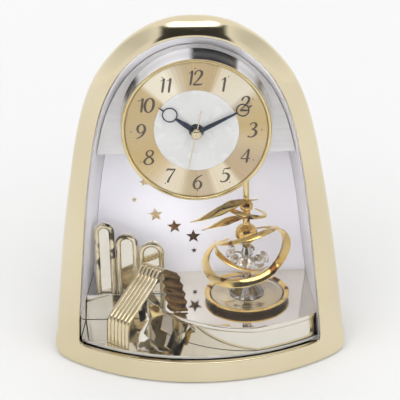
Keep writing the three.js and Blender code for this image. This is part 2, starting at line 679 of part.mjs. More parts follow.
// flat band through 3-D points with sharp folds; w is the half width along a given direction
function foldedBand(points, thickness) {
  const rows = points.map(({ p, w, side }, i) => {
    const a = points[Math.max(i - 1, 0)].p;
    const b = points[Math.min(i + 1, points.length - 1)].p;
    const t = new THREE.Vector3(b[0] - a[0], b[1] - a[1], b[2] - a[2]).normalize();
    const s = new THREE.Vector3(...side).normalize();
    const n = new THREE.Vector3().crossVectors(t, s).normalize();
    return [[-1, -1], [1, -1], [1, 1], [-1, 1]].map(([u, v]) => [
      p[0] + s.x * w * u + n.x * thickness * 0.5 * v,
      p[1] + s.y * w * u + n.y * thickness * 0.5 * v,
      p[2] + s.z * w * u + n.z * thickness * 0.5 * v,
    ]);
  });
  return loft(rows);
}
{
  const pleats = 5;
  const rows = [];
  for (let i = 0; i <= pleats * 2; i += 1) {
    const t = i / (pleats * 2);
    const out = i % 2 ? 2.4 : 0;
    const x = -18.6 + 4.4 * t;
    const y = -5.4 - 9.6 * t - out * 0.9;
    const z = 60.4 - 26.0 * t + out * 0.4;
    const half = 3.0 + 3.6 * Math.sin(Math.PI * (0.12 + 0.6 * t)) + (i % 2 ? 1.0 : -0.6);
    rows.push([
      [x - half, y - 0.4, z + 1.6],
      [x + half, y + 1.2, z - 2.2],
      [x + half, y + 2.2, z - 1.9],
      [x - half, y + 0.6, z + 1.9],
    ]);
  }
  const keep = box(-100, 100, -60, 60, STAGE_Z + 0.7, 100);
  add('pleated_fan', solid(loft(rows)).intersect(keep), M.darkGold);
  const legA = foldedBand([
    { p: [-31.0, -16.0, 41.0], w: 3.4, side: [1, -0.3, 0.1] },
    { p: [-27.5, -21.5, 35.5], w: 4.0, side: [0.9, -0.2, 0.45] },
    { p: [-29.4, -26.0, 30.5], w: 4.2, side: [1, -0.5, -0.4] },
    { p: [-25.2, -30.0, 26.0], w: 4.2, side: [1, 0.1, 0.4] },
    { p: [-27.0, -33.2, 21.5], w: 4.2, side: [1, -0.5, -0.3] },
    { p: [-22.6, -37.0, FLOOR_Z + 0.8], w: 4.4, side: [1, -0.15, 0] },
  ], 1.1);
  const cutFloor = box(-100, 100, -100, 100, FLOOR_Z + 0.2, 200);
  const stageClear = stageDisc(-2.4, 10, 60);
  add('folded_leg_1', solid(legA).intersect(cutFloor).subtract(stageClear), M.gold);
  const legB = foldedBand([
    { p: [-38.5, -18.0, 38.0], w: 3.0, side: [1, -0.5, 0] },
    { p: [-36.2, -22.5, 32.5], w: 3.6, side: [1, -0.2, 0.4] },
    { p: [-39.6, -26.5, 27.5], w: 3.6, side: [1, -0.8, -0.35] },
    { p: [-36.8, -31.0, 22.8], w: 3.8, side: [1, -0.2, 0.35] },
    { p: [-37.6, -35.6, FLOOR_Z + 0.8], w: 4.4, side: [1, -0.4, 0] },
  ], 1.1);
  add('folded_leg_2', solid(legB).intersect(cutFloor), M.gold);
}

// ---- rotating ornament --------------------------------------------------------------------
const [AX, AY] = AXIS;
add('turntable', turnZ(
  [[0, 22], [1.6, 22], [1.6, 34.9], [28.0, 34.9], [28.3, 35.2], [28.3, 37.6], [20.6, 37.6], [20.0, 37.9], [0, 37.9]],
  AX,
  AY,
  40,
), M.ink);
add('turntable_rim', turnZ(
  [[25.2, 37.9], [28.5, 37.9], [28.9, 38.3], [28.7, 39.0], [27.6, 39.2], [25.6, 38.5], [25.2, 37.9]],
  AX,
  AY,
  40,
), M.gold);
{
  const ringGlass = turnZ(
    [[10.4, 38.2], [24.4, 38.2], [24.8, 38.8], [24.0, 39.8], [21.4, 41.0], [16.0, 42.0], [12.6, 41.6], [12.0, 39.2],
      [10.4, 39.0], [10.4, 38.2]],
    AX,
    AY,
    32,
  );
  const rows = [[11.2, 38.2], [11.0, 39.4], [7.6, 43.4], [4.9, 46.4], [3.9, 48.0]].map(([r, z], level) => {
    const row = [];
    for (let i = 0; i < 32; i += 1) {
      const a = (2 * Math.PI * i) / 32;
      const q = i % 2 && level > 0 && level < 4 ? r * 0.86 : r;
      row.push([AX + q * Math.cos(a), AY + q * Math.sin(a), z]);
    }
    return row;
  });
  const stem = rodZ(3.7, 47.6, 60.6, AX, AY, 24);
  add('glass_base', union(ringGlass, solid(loft(rows)), stem), M.crystal);
}
{
  let hub = turnZ(
    [[0, 60.9], [4.4, 60.9], [5.2, 62.4], [3.0, 64.2], [3.4, 66.4], [4.6, 68.0], [3.2, 70.4], [2.5, 73.2], [0, 73.2]],
    AX,
    AY,
    28,
  );
  const spots = [[168, 11.0, 68.2, 4.8], [208, 9.2, 65.2, 4.0], [262, 9.8, 65.4, 4.3], [318, 10.8, 65.2, 4.8],
    [12, 12.4, 63.6, 4.6], [80, 10.0, 66.6, 4.3]];
  spots.forEach(([deg, r, z, size]) => {
    const a = (deg * Math.PI) / 180;
    const gem = turnZ(
      [[0, -size * 0.8], [size, -0.6], [size, 0.8], [size * 0.55, size * 0.62], [0, size * 0.62]],
      0,
      0,
      8,
    ).rotate([0, 62, deg]).translate([AX + r * Math.cos(a), AY + r * Math.sin(a), z]);
    const stalk = rodZ(0.7, 0, r - 0.5, 0, 0, 8).rotate([0, 90, deg]).translate([AX, AY, z]);
    hub = union(hub, stalk, gem);
  });
  add('crystal_hub', hub, M.crystal);
}
add('upper_hub', turnZ(
  [[0, 73.6], [2.6, 73.6], [3.4, 76], [6.9, 79.6], [7.6, 82.6], [6.9, 85.8], [5.0, 88.2], [2.8, 89.4], [2.4, 92.4],
    [3.0, 96.8], [2.6, 99.4], [4.2, 101.2], [4.7, 103.2], [4.0, 105.2], [2.5, 106.4], [0, 106.4]],
  AX,
  AY,
  24,
), M.gold);
add('spindle_rod', rodZ(2.05, 106.7, 151.4, AX, AY, 24), M.gold);

// a flat metal ribbon round the spindle; points are [x, y, z, half width, roll] about the axis
function ribbon(points, steps, thickness = 1.0) {
  const curve = new THREE.CatmullRomCurve3(
    points.map(([x, y, z]) => new THREE.Vector3(x, y, z)),
    false,
    'centripetal',
  );
  const lerp = (t, c) => {
    const f = t * (points.length - 1);
    const i = Math.min(Math.floor(f), points.length - 2);
    return points[i][c] + (points[i + 1][c] - points[i][c]) * (f - i);
  };
  const rows = [];
  for (let i = 0; i <= steps; i += 1) {
    const t = i / steps;
    const p = curve.getPoint(t);
    const tangent = curve.getTangent(t).normalize();
    const up = new THREE.Vector3(0, 0, 1);
    const side = new THREE.Vector3().crossVectors(tangent, up).normalize();
    const normal = new THREE.Vector3().crossVectors(side, tangent).normalize();
    const roll = (lerp(t, 4) * Math.PI) / 180;
    const s = side.clone().multiplyScalar(Math.cos(roll)).addScaledVector(normal, Math.sin(roll));
    const n = new THREE.Vector3().crossVectors(s, tangent).normalize();
    const w = lerp(t, 3);
    const h = (thickness / 2) * Math.min(1, 0.35 + w / 2.2);
    rows.push([[-1, -0.4], [0, -1], [1, -0.4], [1, 0.4], [0, 1], [-1, 0.4]].map(([u, v]) => [
      AX + p.x + s.x * w * u + n.x * h * v,
      AY + p.y + s.y * w * u + n.y * h * v,
      p.z + s.z * w * u + n.z * h * v,
    ]));
  }
  return loft(rows);
}
const RIBBONS = {
  orbit_ribbon: [
    [-12.0, 21.5, 68.5, 1.6, -10], [-22.5, 14.5, 66.8, 2.3, -16], [-27.8, 1.0, 61.0, 2.8, -22],
    [-21.0, -18.0, 57.4, 3.0, -38], [-4.8, -26.6, 58.6, 2.9, -52], [12.0, -24.4, 63.2, 2.8, -44],
    [22.4, -15.0, 70.4, 2.9, -26], [27.0, 0.5, 76.2, 3.0, -12], [23.8, 14.0, 78.0, 2.5, -8],
    [13.5, 20.6, 77.4, 1.5, 0], [5.5, 20.2, 76.4, 0.5, 0],
  ],
  inner_ribbon: [
    [-21.0, 2.0, 72.8, 0.7, -10], [-18.8, -8.5, 71.6, 2.1, -18], [-10.5, -15.4, 67.2, 1.8, -22],
    [-1.0, -16.9, 63.6, 1.3, -14], [9.0, -15.3, 62.8, 0.9, -6], [14.0, -11.5, 63.4, 0.5, 0],
  ],
  halo_ribbon: [
    [-21.5, 4.0, 75.8, 0.6, 0], [-18.5, -10.3, 80.4, 1.9, -20], [-7.0, -18.8, 85.4, 2.3, -34],
    [6.5, -19.0, 89.6, 2.4, -32], [16.6, -10.8, 90.4, 2.3, -16], [20.0, 2.0, 86.6, 1.9, -6],
    [14.5, 13.0, 81.2, 1.2, 0], [6.0, 15.5, 79.2, 0.5, 0],
  ],
  leaf_ribbon_1: [
    [-37.6, -2.6, 92.8, 0.5, 0], [-29.0, -8.3, 98.2, 2.3, -24], [-18.0, -9.3, 103.6, 3.4, -40],
    [-8.0, -6.6, 107.4, 3.4, -30], [-1.2, -4.6, 108.8, 2.0, -10], [3.8, -3.4, 108.6, 1.1, 0],
    [7.6, -0.6, 107.8, 0.5, 0],
  ],
  leaf_ribbon_2: [
    [-29.6, -1.5, 86.2, 0.5, 0], [-22.0, -5.5, 91.2, 2.1, -26], [-14.0, -7.2, 94.8, 3.0, -38],
    [-6.6, -6.2, 96.8, 2.8, -20], [0.5, -5.0, 97.2, 1.1, 0],
  ],
  crown_ribbon: [
    [-9.5, 8.6, 103.6, 0.5, 0], [-13.4, 0.5, 104.6, 1.5, -10], [-8.0, -9.8, 103.4, 2.0, -30],
    [2.0, -12.4, 100.8, 2.1, -34], [10.5, -7.6, 98.4, 1.8, -16], [11.8, 1.6, 96.8, 1.3, 0],
    [6.0, 8.2, 97.2, 0.5, 0],
  ],
};
Object.entries(RIBBONS).forEach(([name, points]) => add(name, ribbon(points, (points.length - 1) * 3), M.gold));

export default group;
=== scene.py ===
"""Mantel clock with a turning ornament: the looks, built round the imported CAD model. Shapes are in mm."""
import math
from functools import reduce

import bmesh
import bpy
from mathutils import Matrix, Vector
from mathutils.geometry import tessellate_polygon


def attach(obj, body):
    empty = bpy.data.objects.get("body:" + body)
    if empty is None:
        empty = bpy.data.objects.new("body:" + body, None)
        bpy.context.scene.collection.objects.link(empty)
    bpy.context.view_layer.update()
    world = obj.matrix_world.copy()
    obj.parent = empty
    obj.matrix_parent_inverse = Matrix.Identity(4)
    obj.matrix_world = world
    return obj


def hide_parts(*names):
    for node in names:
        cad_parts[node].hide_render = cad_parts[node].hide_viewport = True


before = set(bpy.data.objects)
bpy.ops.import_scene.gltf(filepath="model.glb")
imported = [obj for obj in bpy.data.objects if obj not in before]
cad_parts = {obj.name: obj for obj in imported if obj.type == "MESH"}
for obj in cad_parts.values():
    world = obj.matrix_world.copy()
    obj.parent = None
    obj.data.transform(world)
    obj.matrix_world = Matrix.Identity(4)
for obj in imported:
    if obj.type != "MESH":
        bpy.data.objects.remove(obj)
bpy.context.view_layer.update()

# ---- dimensions, the same as the CAD's ----
MM = 0.001
WHITE = 0.9  # strength of the studio's paper
FOOT_H = 0.8
BOW_R, BOW_Y = 138.0, 90.4
LINER_FRONT_Y, LINER_BACK_Y, LINER_KX, LINER_KZ = -50.0, 47.6, 0.935, 0.80
SHELL_FRONT_Y, CASE_BACK_Y, SHELL_KX, SHELL_KZ = -38.5, 52.4, 0.93, 0.80
FLOOR_Z, STAGE_Z = 17.0, 34.5
LINER_Z, WALL_Y = 14.6, 45.6
STAGE_C, STAGE_R = (34.4, 39.5), 77.0
ARCADE_Y = 9.0
PLATE_Y, HOUSING_Z = -12.0, 149.0
DIAL = (0.8, 171.4)
DIAL_Y, DIAL_R = -30.0, 44.6
KNOB = (15.8, 175.5)
AXIS = (32.6, 6.0)
OUTER = [
    (99, 9), (97.6, 18), (95.9, 33), (93.9, 50.5), (91.4, 70.4), (88.6, 91.2), (85.6, 111), (82.3, 130.5),
    (78.4, 152), (74.2, 172), (69, 190), (62.6, 205.4), (55.1, 217.4), (45.9, 229), (35.4, 238.2),
    (24.4, 244.9), (12.4, 248.9), (0, 250),
]
INNER = [
    (80.8, 18.4), (79.9, 33), (78.4, 50), (76.3, 70.4), (74.3, 90.6), (72.3, 110), (69.8, 130.2),
    (66.4, 151.6), (62.4, 172.6), (57.2, 191.0), (50.4, 205.8), (42.2, 218.0), (33.6, 226.6), (24.6, 233.0),
    (16.2, 236.7), (8.2, 238.7), (0, 239.3),
]


# ---- curves ----
def spline(points, closed=False):
    """A centripetal curve through points, as a function of 0..1 with the same step between points."""
    pts = [Vector(p) for p in points]
    spans = len(pts) if closed else len(pts) - 1
    if closed:
        pts = [pts[-1]] + pts + pts[:2]
    else:
        pts = [pts[0] * 2 - pts[1]] + pts + [pts[-1] * 2 - pts[-2]]

    def at(t):
        p = spans * min(max(t, 0.0), 1.0)
        i = min(int(p), spans - 1)
        w = p - i
        q = pts[i:i + 4]
        d0, d1, d2 = (math.sqrt((q[k + 1] - q[k]).length) for k in range(3))
        d1 = d1 if d1 > 1e-4 else 1.0
        d0 = d0 if d0 > 1e-4 else d1
        d2 = d2 if d2 > 1e-4 else d1
        m1 = ((q[1] - q[0]) / d0 - (q[2] - q[0]) / (d0 + d1) + (q[2] - q[1]) / d1) * d1
        m2 = ((q[2] - q[1]) / d1 - (q[3] - q[1]) / (d1 + d2) + (q[3] - q[2]) / d2) * d1
        a = q[1] * 2 - q[2] * 2 + m1 + m2
        b = q[2] * 3 - q[1] * 3 - m1 * 2 - m2
        return ((a * w + b) * w + m1) * w + q[1]

    return at


def smooth(points, count, closed=False):
    f = spline(points, closed)
    return [tuple(f(i / count)) for i in range(count if closed else count + 1)]


def fillet(points, radius, steps=3, closed=False):
    """Rounds the corners of a polyline in a plane."""
    out = []
    n = len(points)
    for i, p in enumerate(points):
        p = Vector(p)
        a, b = Vector(points[i - 1]) - p, Vector(points[(i + 1) % n]) - p
        end = not closed and i in (0, n - 1)
        if end or a.length < 1e-6 or b.length < 1e-6 or math.pi - a.angle(b) < 0.3:
            out.append(tuple(p))
            continue
        d = min(radius, 0.45 * a.length, 0.45 * b.length)
        s, e = p + a.normalized() * d, p + b.normalized() * d
        for t in (k / steps for k in range(steps + 1)):
            out.append(tuple(s * (1 - t) ** 2 + p * 2 * t * (1 - t) + e * t * t))
    return out


def offset(poly, d):
    """A closed outline moved outwards by d, for a counter-clockwise outline."""
    n = len(poly)
    out = []
    for i in range(n):
        p, a, b = Vector(poly[i]), Vector(poly[i - 1]), Vector(poly[(i + 1) % n])
        u, v = (p - a).normalized(), (b - p).normalized()
        nu, nv = Vector((u.y, -u.x)), Vector((v.y, -v.x))
        m = nu + nv
        k = m.length_squared
        m = m * (2 / k) if k > 0.5 else m.normalized() * 1.6 if k > 1e-9 else nu
        out.append(tuple(p + m * d))
    return out


def area(poly):
    return sum(a[0] * b[1] - b[0] * a[1] for a, b in zip(poly, poly[1:] + poly[:1])) / 2


def polar(r, a, centre=(0.0, 0.0)):
    return centre[0] + r * math.cos(a), centre[1] + r * math.sin(a)


def circle(r, x=0.0, z=0.0, n=48):
    return [polar(r, 2 * math.pi * i / n, (x, z)) for i in range(n)]


def mirrored(points):
    return [(-x, z) for x, z in reversed(points)]


def bow_y(x, r=BOW_R):
    return BOW_Y - math.sqrt(r * r - x * x)


def arch(half, grow, z_bottom):
    """A closed arch: right side up, over the top and down the left side."""
    pts = []
    n = len(half)
    for i, (x, z) in enumerate(half):
        a, b = half[max(i - 1, 0)], half[min(i + 1, n - 1)]
        t = math.hypot(b[0] - a[0], b[1] - a[1])
        nx, nz = (0, 1) if i == n - 1 else ((b[1] - a[1]) / t, -(b[0] - a[0]) / t)
        pts.append((max(x + grow * nx, 0), z + grow * nz))
    right = [(pts[0][0], z_bottom)] + pts
    return right + mirrored(right[:-1])


HALF_IN = smooth(INNER, 72)
HALF_OUT = smooth(OUTER, 72)


def liner_at(grow, y):
    """The liner's outline at one depth."""
    t = (y - LINER_FRONT_Y) / (LINER_BACK_Y - LINER_FRONT_Y)
    kx, kz = 1 + (LINER_KX - 1) * t, 1 + (LINER_KZ - 1) * t
    return [(x * kx, LINER_Z + (z - LINER_Z) * kz) for x, z in arch(HALF_IN, grow, LINER_Z - grow)]


def width_at(outline, z):
    """Half width of an outline that is symmetric about x = 0, at height z."""
    best = 0.0
    for a, b in zip(outline, outline[1:] + outline[:1]):
        if a[0] >= 0 and b[0] >= 0 and min(a[1], b[1]) <= z <= max(a[1], b[1]) and a[1] != b[1]:
            best = max(best, a[0] + (b[0] - a[0]) * (z - a[1]) / (b[1] - a[1]))
    return best


# ---- meshes ----
MATS = {}


def build(name, shape, look, body, nodes=(), sharp=32, origin=(0, 0, 0), flat=None):
    """One piece from (points, faces) in mm. nodes are the CAD nodes that it stands for."""
    verts, faces = shape
    o = Vector(origin)
    bm = bmesh.new()
    made = [bm.verts.new((Vector(v) - o) * MM) for v in verts]
    for f in faces:
        ids = list(dict.fromkeys(f))
        if len(ids) > 2:
            try:
                bm.faces.new([made[i] for i in ids])
            except ValueError:
                pass
    bmesh.ops.remove_doubles(bm, verts=bm.verts, dist=2e-6)
    bmesh.ops.dissolve_degenerate(bm, edges=bm.edges, dist=1e-7)
    bmesh.ops.recalc_face_normals(bm, faces=bm.faces)
    return wrap(name, bm, look, body, nodes, sharp, origin, flat)


def wrap(name, bm, look, body, nodes, sharp, origin=(0, 0, 0), flat=None):
    """A piece from a bmesh. flat is the area in mm2 from which faces square to the axes get flat shading."""
    mesh = bpy.data.meshes.new(name)
    bm.to_mesh(mesh)
    bm.free()
    mesh.shade_smooth()
    mesh.set_sharp_from_angle(angle=math.radians(sharp))
    if flat:
        for face in mesh.polygons:
            face.use_smooth = max(abs(c) for c in face.normal) < 0.9999 or face.area < flat * MM * MM
    mesh.materials.append(MATS[look])
    obj = bpy.data.objects.new(name, mesh)
    obj.location = Vector(origin) * MM
    bpy.context.scene.collection.objects.link(obj)
    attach(obj, body)
    if nodes:
        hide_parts(*nodes)
    return obj


def refined(node, look, body, bevel=0.25, segments=2, sharp=32):
    """The CAD node's own solid with its sharp edges rounded off."""
    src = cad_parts[node]
    bm = bmesh.new()
    bm.from_mesh(src.data)
    bm.transform(src.matrix_world)
    bmesh.ops.remove_doubles(bm, verts=bm.verts, dist=2e-6)
    bmesh.ops.dissolve_limit(bm, angle_limit=math.radians(1), verts=bm.verts, edges=bm.edges)
    edges = [e for e in bm.edges if len(e.link_faces) == 2 and e.calc_face_angle(0) > math.radians(28)]
    bmesh.ops.bevel(bm, geom=edges, offset=bevel * MM, segments=segments, profile=0.6, affect="EDGES",
                    clamp_overlap=True)
    bmesh.ops.recalc_face_normals(bm, faces=bm.faces)
    return wrap(node + "_finish", bm, look, body, (node,), sharp, flat=10)


def keep(node, look):
    """A CAD node that stays, with a finish of its own."""
    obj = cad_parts[node]
    obj.data.materials.clear()
    obj.data.materials.append(MATS[look])


def join(*shapes):
    verts, faces = [], []
    for v, f in shapes:
        k = len(verts)
        verts.extend(v)
        faces.extend([i + k for i in face] for face in f)
    return verts, faces


def grid(rows, ring=False, caps=False):
    """Faces between rows of points with the same count."""
    n = len(rows[0])
    verts = [p for row in rows for p in row]
    faces = []
    spans = len(rows) if ring else len(rows) - 1
    for i in range(spans):
        a, b = i * n, ((i + 1) % len(rows)) * n
        for j in range(n):
            k = (j + 1) % n
            faces.append((a + j, a + k, b + k, b + j))
    if caps:
        faces.append(tuple(range(n)))
        faces.append(tuple((len(rows) - 1) * n + j for j in range(n)))
    return verts, faces


def lathe(profile, centre, axis="Z", segments=96, rounding=0.0, closed=False, ripple=None, caps=False):
    """A profile of (r, height) turned about an upright axis or one along Y. ripple gives r at an angle."""
    prof = fillet(profile, rounding, closed=closed) if rounding else list(profile)
    rows = []
    for r, h in prof:
        row = []
        for a in (2 * math.pi * i / segments for i in range(segments)):
            u, v = polar(ripple(r, a) if ripple else r, a, centre)
            row.append((u, v, h) if axis == "Z" else (u, h, v))
        rows.append(row)
    return grid(rows, ring=closed, caps=caps)


def slab(outline, lo, hi, axis="Y", holes=(), edge=0.3, steps=2):
    """An outline pushed along an axis, with its edges rounded; outline is (x, z) for Y and (x, y) for Z."""
    loops = [outline if area(outline) > 0 else outline[::-1]]
    loops += [hole[::-1] if area(hole) > 0 else hole for hole in holes]
    turns = [math.pi / 2 * k / steps for k in range(steps + 1)] if edge else [math.pi / 2]
    levels = [(edge * (1 - math.sin(a)), edge * (1 - math.cos(a)) if edge else 0.0) for a in turns]
    stack = [(inset, lo + up) for inset, up in levels] + [(inset, hi - up) for inset, up in reversed(levels)]
    verts, faces, ends = [], [], ([], [])
    for loop in loops:
        rows = []
        for inset, h in stack:
            rows.append([(u, h, v) if axis == "Y" else (u, v, h) for u, v in offset(loop, -inset)])
        first = len(verts)
        verts, faces = join((verts, faces), grid(rows))
        for end, k in zip(ends, (first, len(verts) - len(loop))):
            end.append(range(k, k + len(loop)))
    v = 2 if axis == "Y" else 1
    for spans in ends:
        polys = [[Vector((verts[i][0], verts[i][v], 0)) for i in span] for span in spans]
        ids = [i for span in spans for i in span]
        if len(polys) == 1 and len(ids) <= 12:
            faces.append(tuple(ids))
        else:
            faces.extend(tuple(ids[i] for i in tri) for tri in tessellate_polygon(polys))
    return verts, faces


def tube(path, radius, sides):
    """A round bar along 3-D points."""
    pts = [Vector(p) for p in path]
    n = len(pts)
    rows = []
    side = None
    for i, p in enumerate(pts):
        t = (pts[min(i + 1, n - 1)] - pts[max(i - 1, 0)]).normalized()
        if side is None:
            side = t.orthogonal().normalized()
        side = (side - t * side.dot(t)).normalized()
        up = t.cross(side)
        rows.append([tuple(p + side * u + up * v) for u, v in circle(radius, n=sides)])
    return grid(rows, caps=True)


def sleeve(outer, inner, base, y_back, front_r, closed):
    """A tapering wall behind the bowed front. outer and inner are outlines at the front of the taper."""
    y0, y1, kx, kz, z_fixed = base
    rows = 8

    def column(p):
        x, z = p
        y = bow_y(x, front_r)
        for _ in range(6):
            t = (y - y0) / (y1 - y0)
            y = bow_y(x * (1 + (kx - 1) * t), front_r)
        out = []
        for k in range(rows + 1):
            yy = y + (y_back - y) * k / rows
            t = (yy - y0) / (y1 - y0)
            out.append((x * (1 + (kx - 1) * t), yy, z_fixed + (z - z_fixed) * (1 + (kz - 1) * t)))
        return out

    sections = []
    for po, pi in zip(outer, inner):
        sections.append(column(po) + list(reversed(column(pi))))
    return grid(sections, ring=closed, caps=not closed)


# ---- materials ----
def rgb(text):
    """sRGB hex to linear."""
    levels = [int(text[i:i + 2], 16) / 255 for i in (0, 2, 4)]
    return (*[c / 12.92 if c <= 0.04045 else ((c + 0.055) / 1.055) ** 2.4 for c in levels], 1.0)


def feed(nt, node, inputs):
    """Each input of a node gets a number, a colour or another node's output."""
    for key, v in inputs.items():
        if isinstance(v, bpy.types.NodeSocket):
            nt.links.new(v, node.inputs[key])
        else:
            node.inputs[key].default_value = v


def add(nt, kind, inputs=None, **settings):
    node = nt.nodes.new("ShaderNode" + kind)
    for key, v in settings.items():
        setattr(node, key, v)
    feed(nt, node, inputs or {})
    return node


def maths(nt, kind, a, b=0.5, clamp=False):
    return add(nt, "Math", {0: a, 1: b}, operation=kind, use_clamp=clamp).outputs[0]


def noise(nt, coords, scale, detail=2.0, rough=0.5):
    inputs = {"Scale": scale, "Detail": detail, "Roughness": rough, "Vector": coords}
    return add(nt, "TexNoise", inputs).outputs["Fac"]


def spread(nt, value, lo, hi, a=0.3, b=0.7):
    """The range a..b of a value moved to lo..hi, and held there outside it."""
    inputs = {"From Min": a, "From Max": b, "To Min": lo, "To Max": hi, "Value": value}
    return add(nt, "MapRange", inputs).outputs["Result"]


def mixed(nt, fac, a, b, **settings):
    return add(nt, "Mix", {0: fac, 6: a, 7: b}, data_type="RGBA", **settings).outputs[2]


def start(name, stretch=(1, 1, 1)):
    mat = bpy.data.materials.new(name)
    mat.use_nodes = True
    nt = mat.node_tree
    here = add(nt, "TexCoord").outputs["Object"]
    at = add(nt, "Mapping", {"Scale": stretch, "Vector": here}).outputs["Vector"]
    MATS[name] = mat
    return nt, nt.nodes["Principled BSDF"], at


def relief(nt, bsdf, height, strength, distance=0.0002):
    bump = add(nt, "Bump", {"Strength": strength, "Distance": distance, "Height": height})
    feed(nt, bsdf, {"Normal": bump.outputs["Normal"]})


def finish(name, dark, light, rough, scale=60, bump=0.02, bump_scale=900, stretch=(1, 1, 1), **fixed):
    """A finish that varies a little in colour and gloss, with a fine surface."""
    nt, bsdf, at = start(name, stretch)
    feed(nt, bsdf, {
        "Base Color": mixed(nt, spread(nt, noise(nt, at, scale, 3.0), 0, 1), rgb(dark), rgb(light)),
        "Roughness": spread(nt, noise(nt, at, scale * 3.1, 4.0), *rough),
    })
    if bump:
        relief(nt, bsdf, noise(nt, at, bump_scale), bump)
    feed(nt, bsdf, {key.replace("_", " "): v for key, v in fixed.items()})


finish("champagne", "dbceac", "e6dabb", (0.10, 0.15), scale=14, bump=0.012, bump_scale=700, Metallic=1.0)
finish("champagne_plastic", "d2c39b", "dacca8", (0.2, 0.24), scale=9, bump=0, Metallic=0.9)
finish("pale_gold", "e9d193", "f3e2b0", (0.08, 0.13), Metallic=1.0)
finish("strap_gold", "e2d2a8", "f0e4c6", (0.08, 0.14), Metallic=1.0)
finish("plate_gold", "f2e0b0", "fbf1d8", (0.08, 0.16), Metallic=1.0)
for look, dark, light, metal in (
    ("star_dark", "3a2b1d", "5e472c", 0.7), ("star_brown", "5d3c20", "b08647", 0.8),
    ("star_pale", "cdb282", "ecd9ad", 0.6),
):
    finish(look, dark, light, (0.2, 0.35), scale=160, bump=0.05, Metallic=metal)
finish("chrome", "dcdad4", "e9e7e2", (0.03, 0.06), scale=50, bump=0.01, Metallic=1.0)
finish("mirror", "e9e3d6", "f0ebdf", (0.045, 0.075), scale=30, bump=0.008, bump_scale=500, Metallic=1.0)
finish("pearl", "ecebf3", "f4f3fa", (0.30, 0.42), scale=25, bump=0.03, bump_scale=1800, Coat_Weight=0.25)
finish("silver_satin", "d0cfd0", "d9d8d9", (0.34, 0.46), scale=30, bump=0.05, bump_scale=2600,
       stretch=(1, 1, 12), Metallic=0.55)
finish("white_lacquer", "a6a6a5", "acacab", (0.22, 0.3), scale=40, bump_scale=2200, Coat_Weight=0.4)
finish("floor_edge", "b9b6ae", "cfccc4", (0.3, 0.4), bump_scale=1200, Metallic=0.4)
finish("print", "382e22", "463a2c", (0.4, 0.55), scale=300, bump=0.05, bump_scale=4000)
finish("blued_steel", "232838", "343b4f", (0.14, 0.24), scale=160, bump=0.03, bump_scale=2000, Metallic=0.9)
finish("black_plastic", "151516", "202022", (0.42, 0.58), bump=0.12, bump_scale=2600)
# painted reflection: the turntable's dark brown colour stands in for gold chrome mirroring the dark room in
# front
finish("polish_painted_dark_reflection", "35291b", "54402a", (0.05, 0.09), bump=0.01, Metallic=0.9)
finish("rubber", "1a1a1a", "262626", (0.75, 0.9), scale=120, bump=0.2, bump_scale=2600)
finish("brass", "a98b45", "c2a45c", (0.25, 0.4), scale=120, bump=0.08, bump_scale=1600, Metallic=1.0)
finish("board_green", "1d5234", "2b6b47", (0.35, 0.55), scale=180, bump=0.1, bump_scale=1600)
finish("cell_blue", "33507a", "486a97", (0.25, 0.35), bump=0.05, bump_scale=1200, Metallic=0.4)


def crystal_material():
    nt, bsdf, at = start("crystal")
    # brownish patches in the stone's tint
    brown_patches = spread(nt, noise(nt, at, 260, 1.0), 0, 1, 0.42, 0.56)
    feed(nt, bsdf, {
        "Base Color": mixed(nt, brown_patches, rgb("c9b49a"), rgb("ffffff")),
        "Roughness": spread(nt, noise(nt, at, 300), 0.0, 0.012),
        "Transmission Weight": 1.0,
        "IOR": 1.62,
    })


def thin_glass(name, tint, scale, rough, blend, power, share):
    """Clear glass that shows what is behind it, with a mirror gloss that grows towards grazing angles."""
    nt, bsdf, at = start(name)
    nt.nodes.remove(bsdf)
    clear = add(nt, "BsdfTransparent", {"Color": (*tint, 1)})
    gloss = add(nt, "BsdfGlossy", {"Roughness": spread(nt, noise(nt, at, scale), 0.0, rough)})
    facing = add(nt, "LayerWeight", {"Blend": blend}).outputs["Facing"]
    amount = spread(nt, maths(nt, "POWER", facing, power), *share)
    mix = add(nt, "MixShader", {0: amount, 1: clear.outputs[0], 2: gloss.outputs[0]})
    feed(nt, nt.nodes["Material Output"], {"Surface": mix.outputs[0]})


def around(nt, at, stops):
    """Colour by the angle about Y, in degrees clockwise from the top; also the angle as 0..1."""
    split = add(nt, "SeparateXYZ", {0: at}).outputs
    where = spread(nt, maths(nt, "ARCTAN2", split["X"], split["Z"]), 0.0, 1.0, -math.pi, math.pi)
    ramp = add(nt, "ValToRGB", {0: where})
    marks = ramp.color_ramp.elements
    while len(marks) < len(stops):
        marks.new(0.5)
    # the colours come last, because a mark that moves can change its place in the list
    for mark, (deg, _) in zip(marks, stops):
        mark.position = (deg + 180) / 360
    for mark, (_, colour) in zip(marks, stops):
        mark.color = rgb(colour)
    return ramp.outputs[0], where


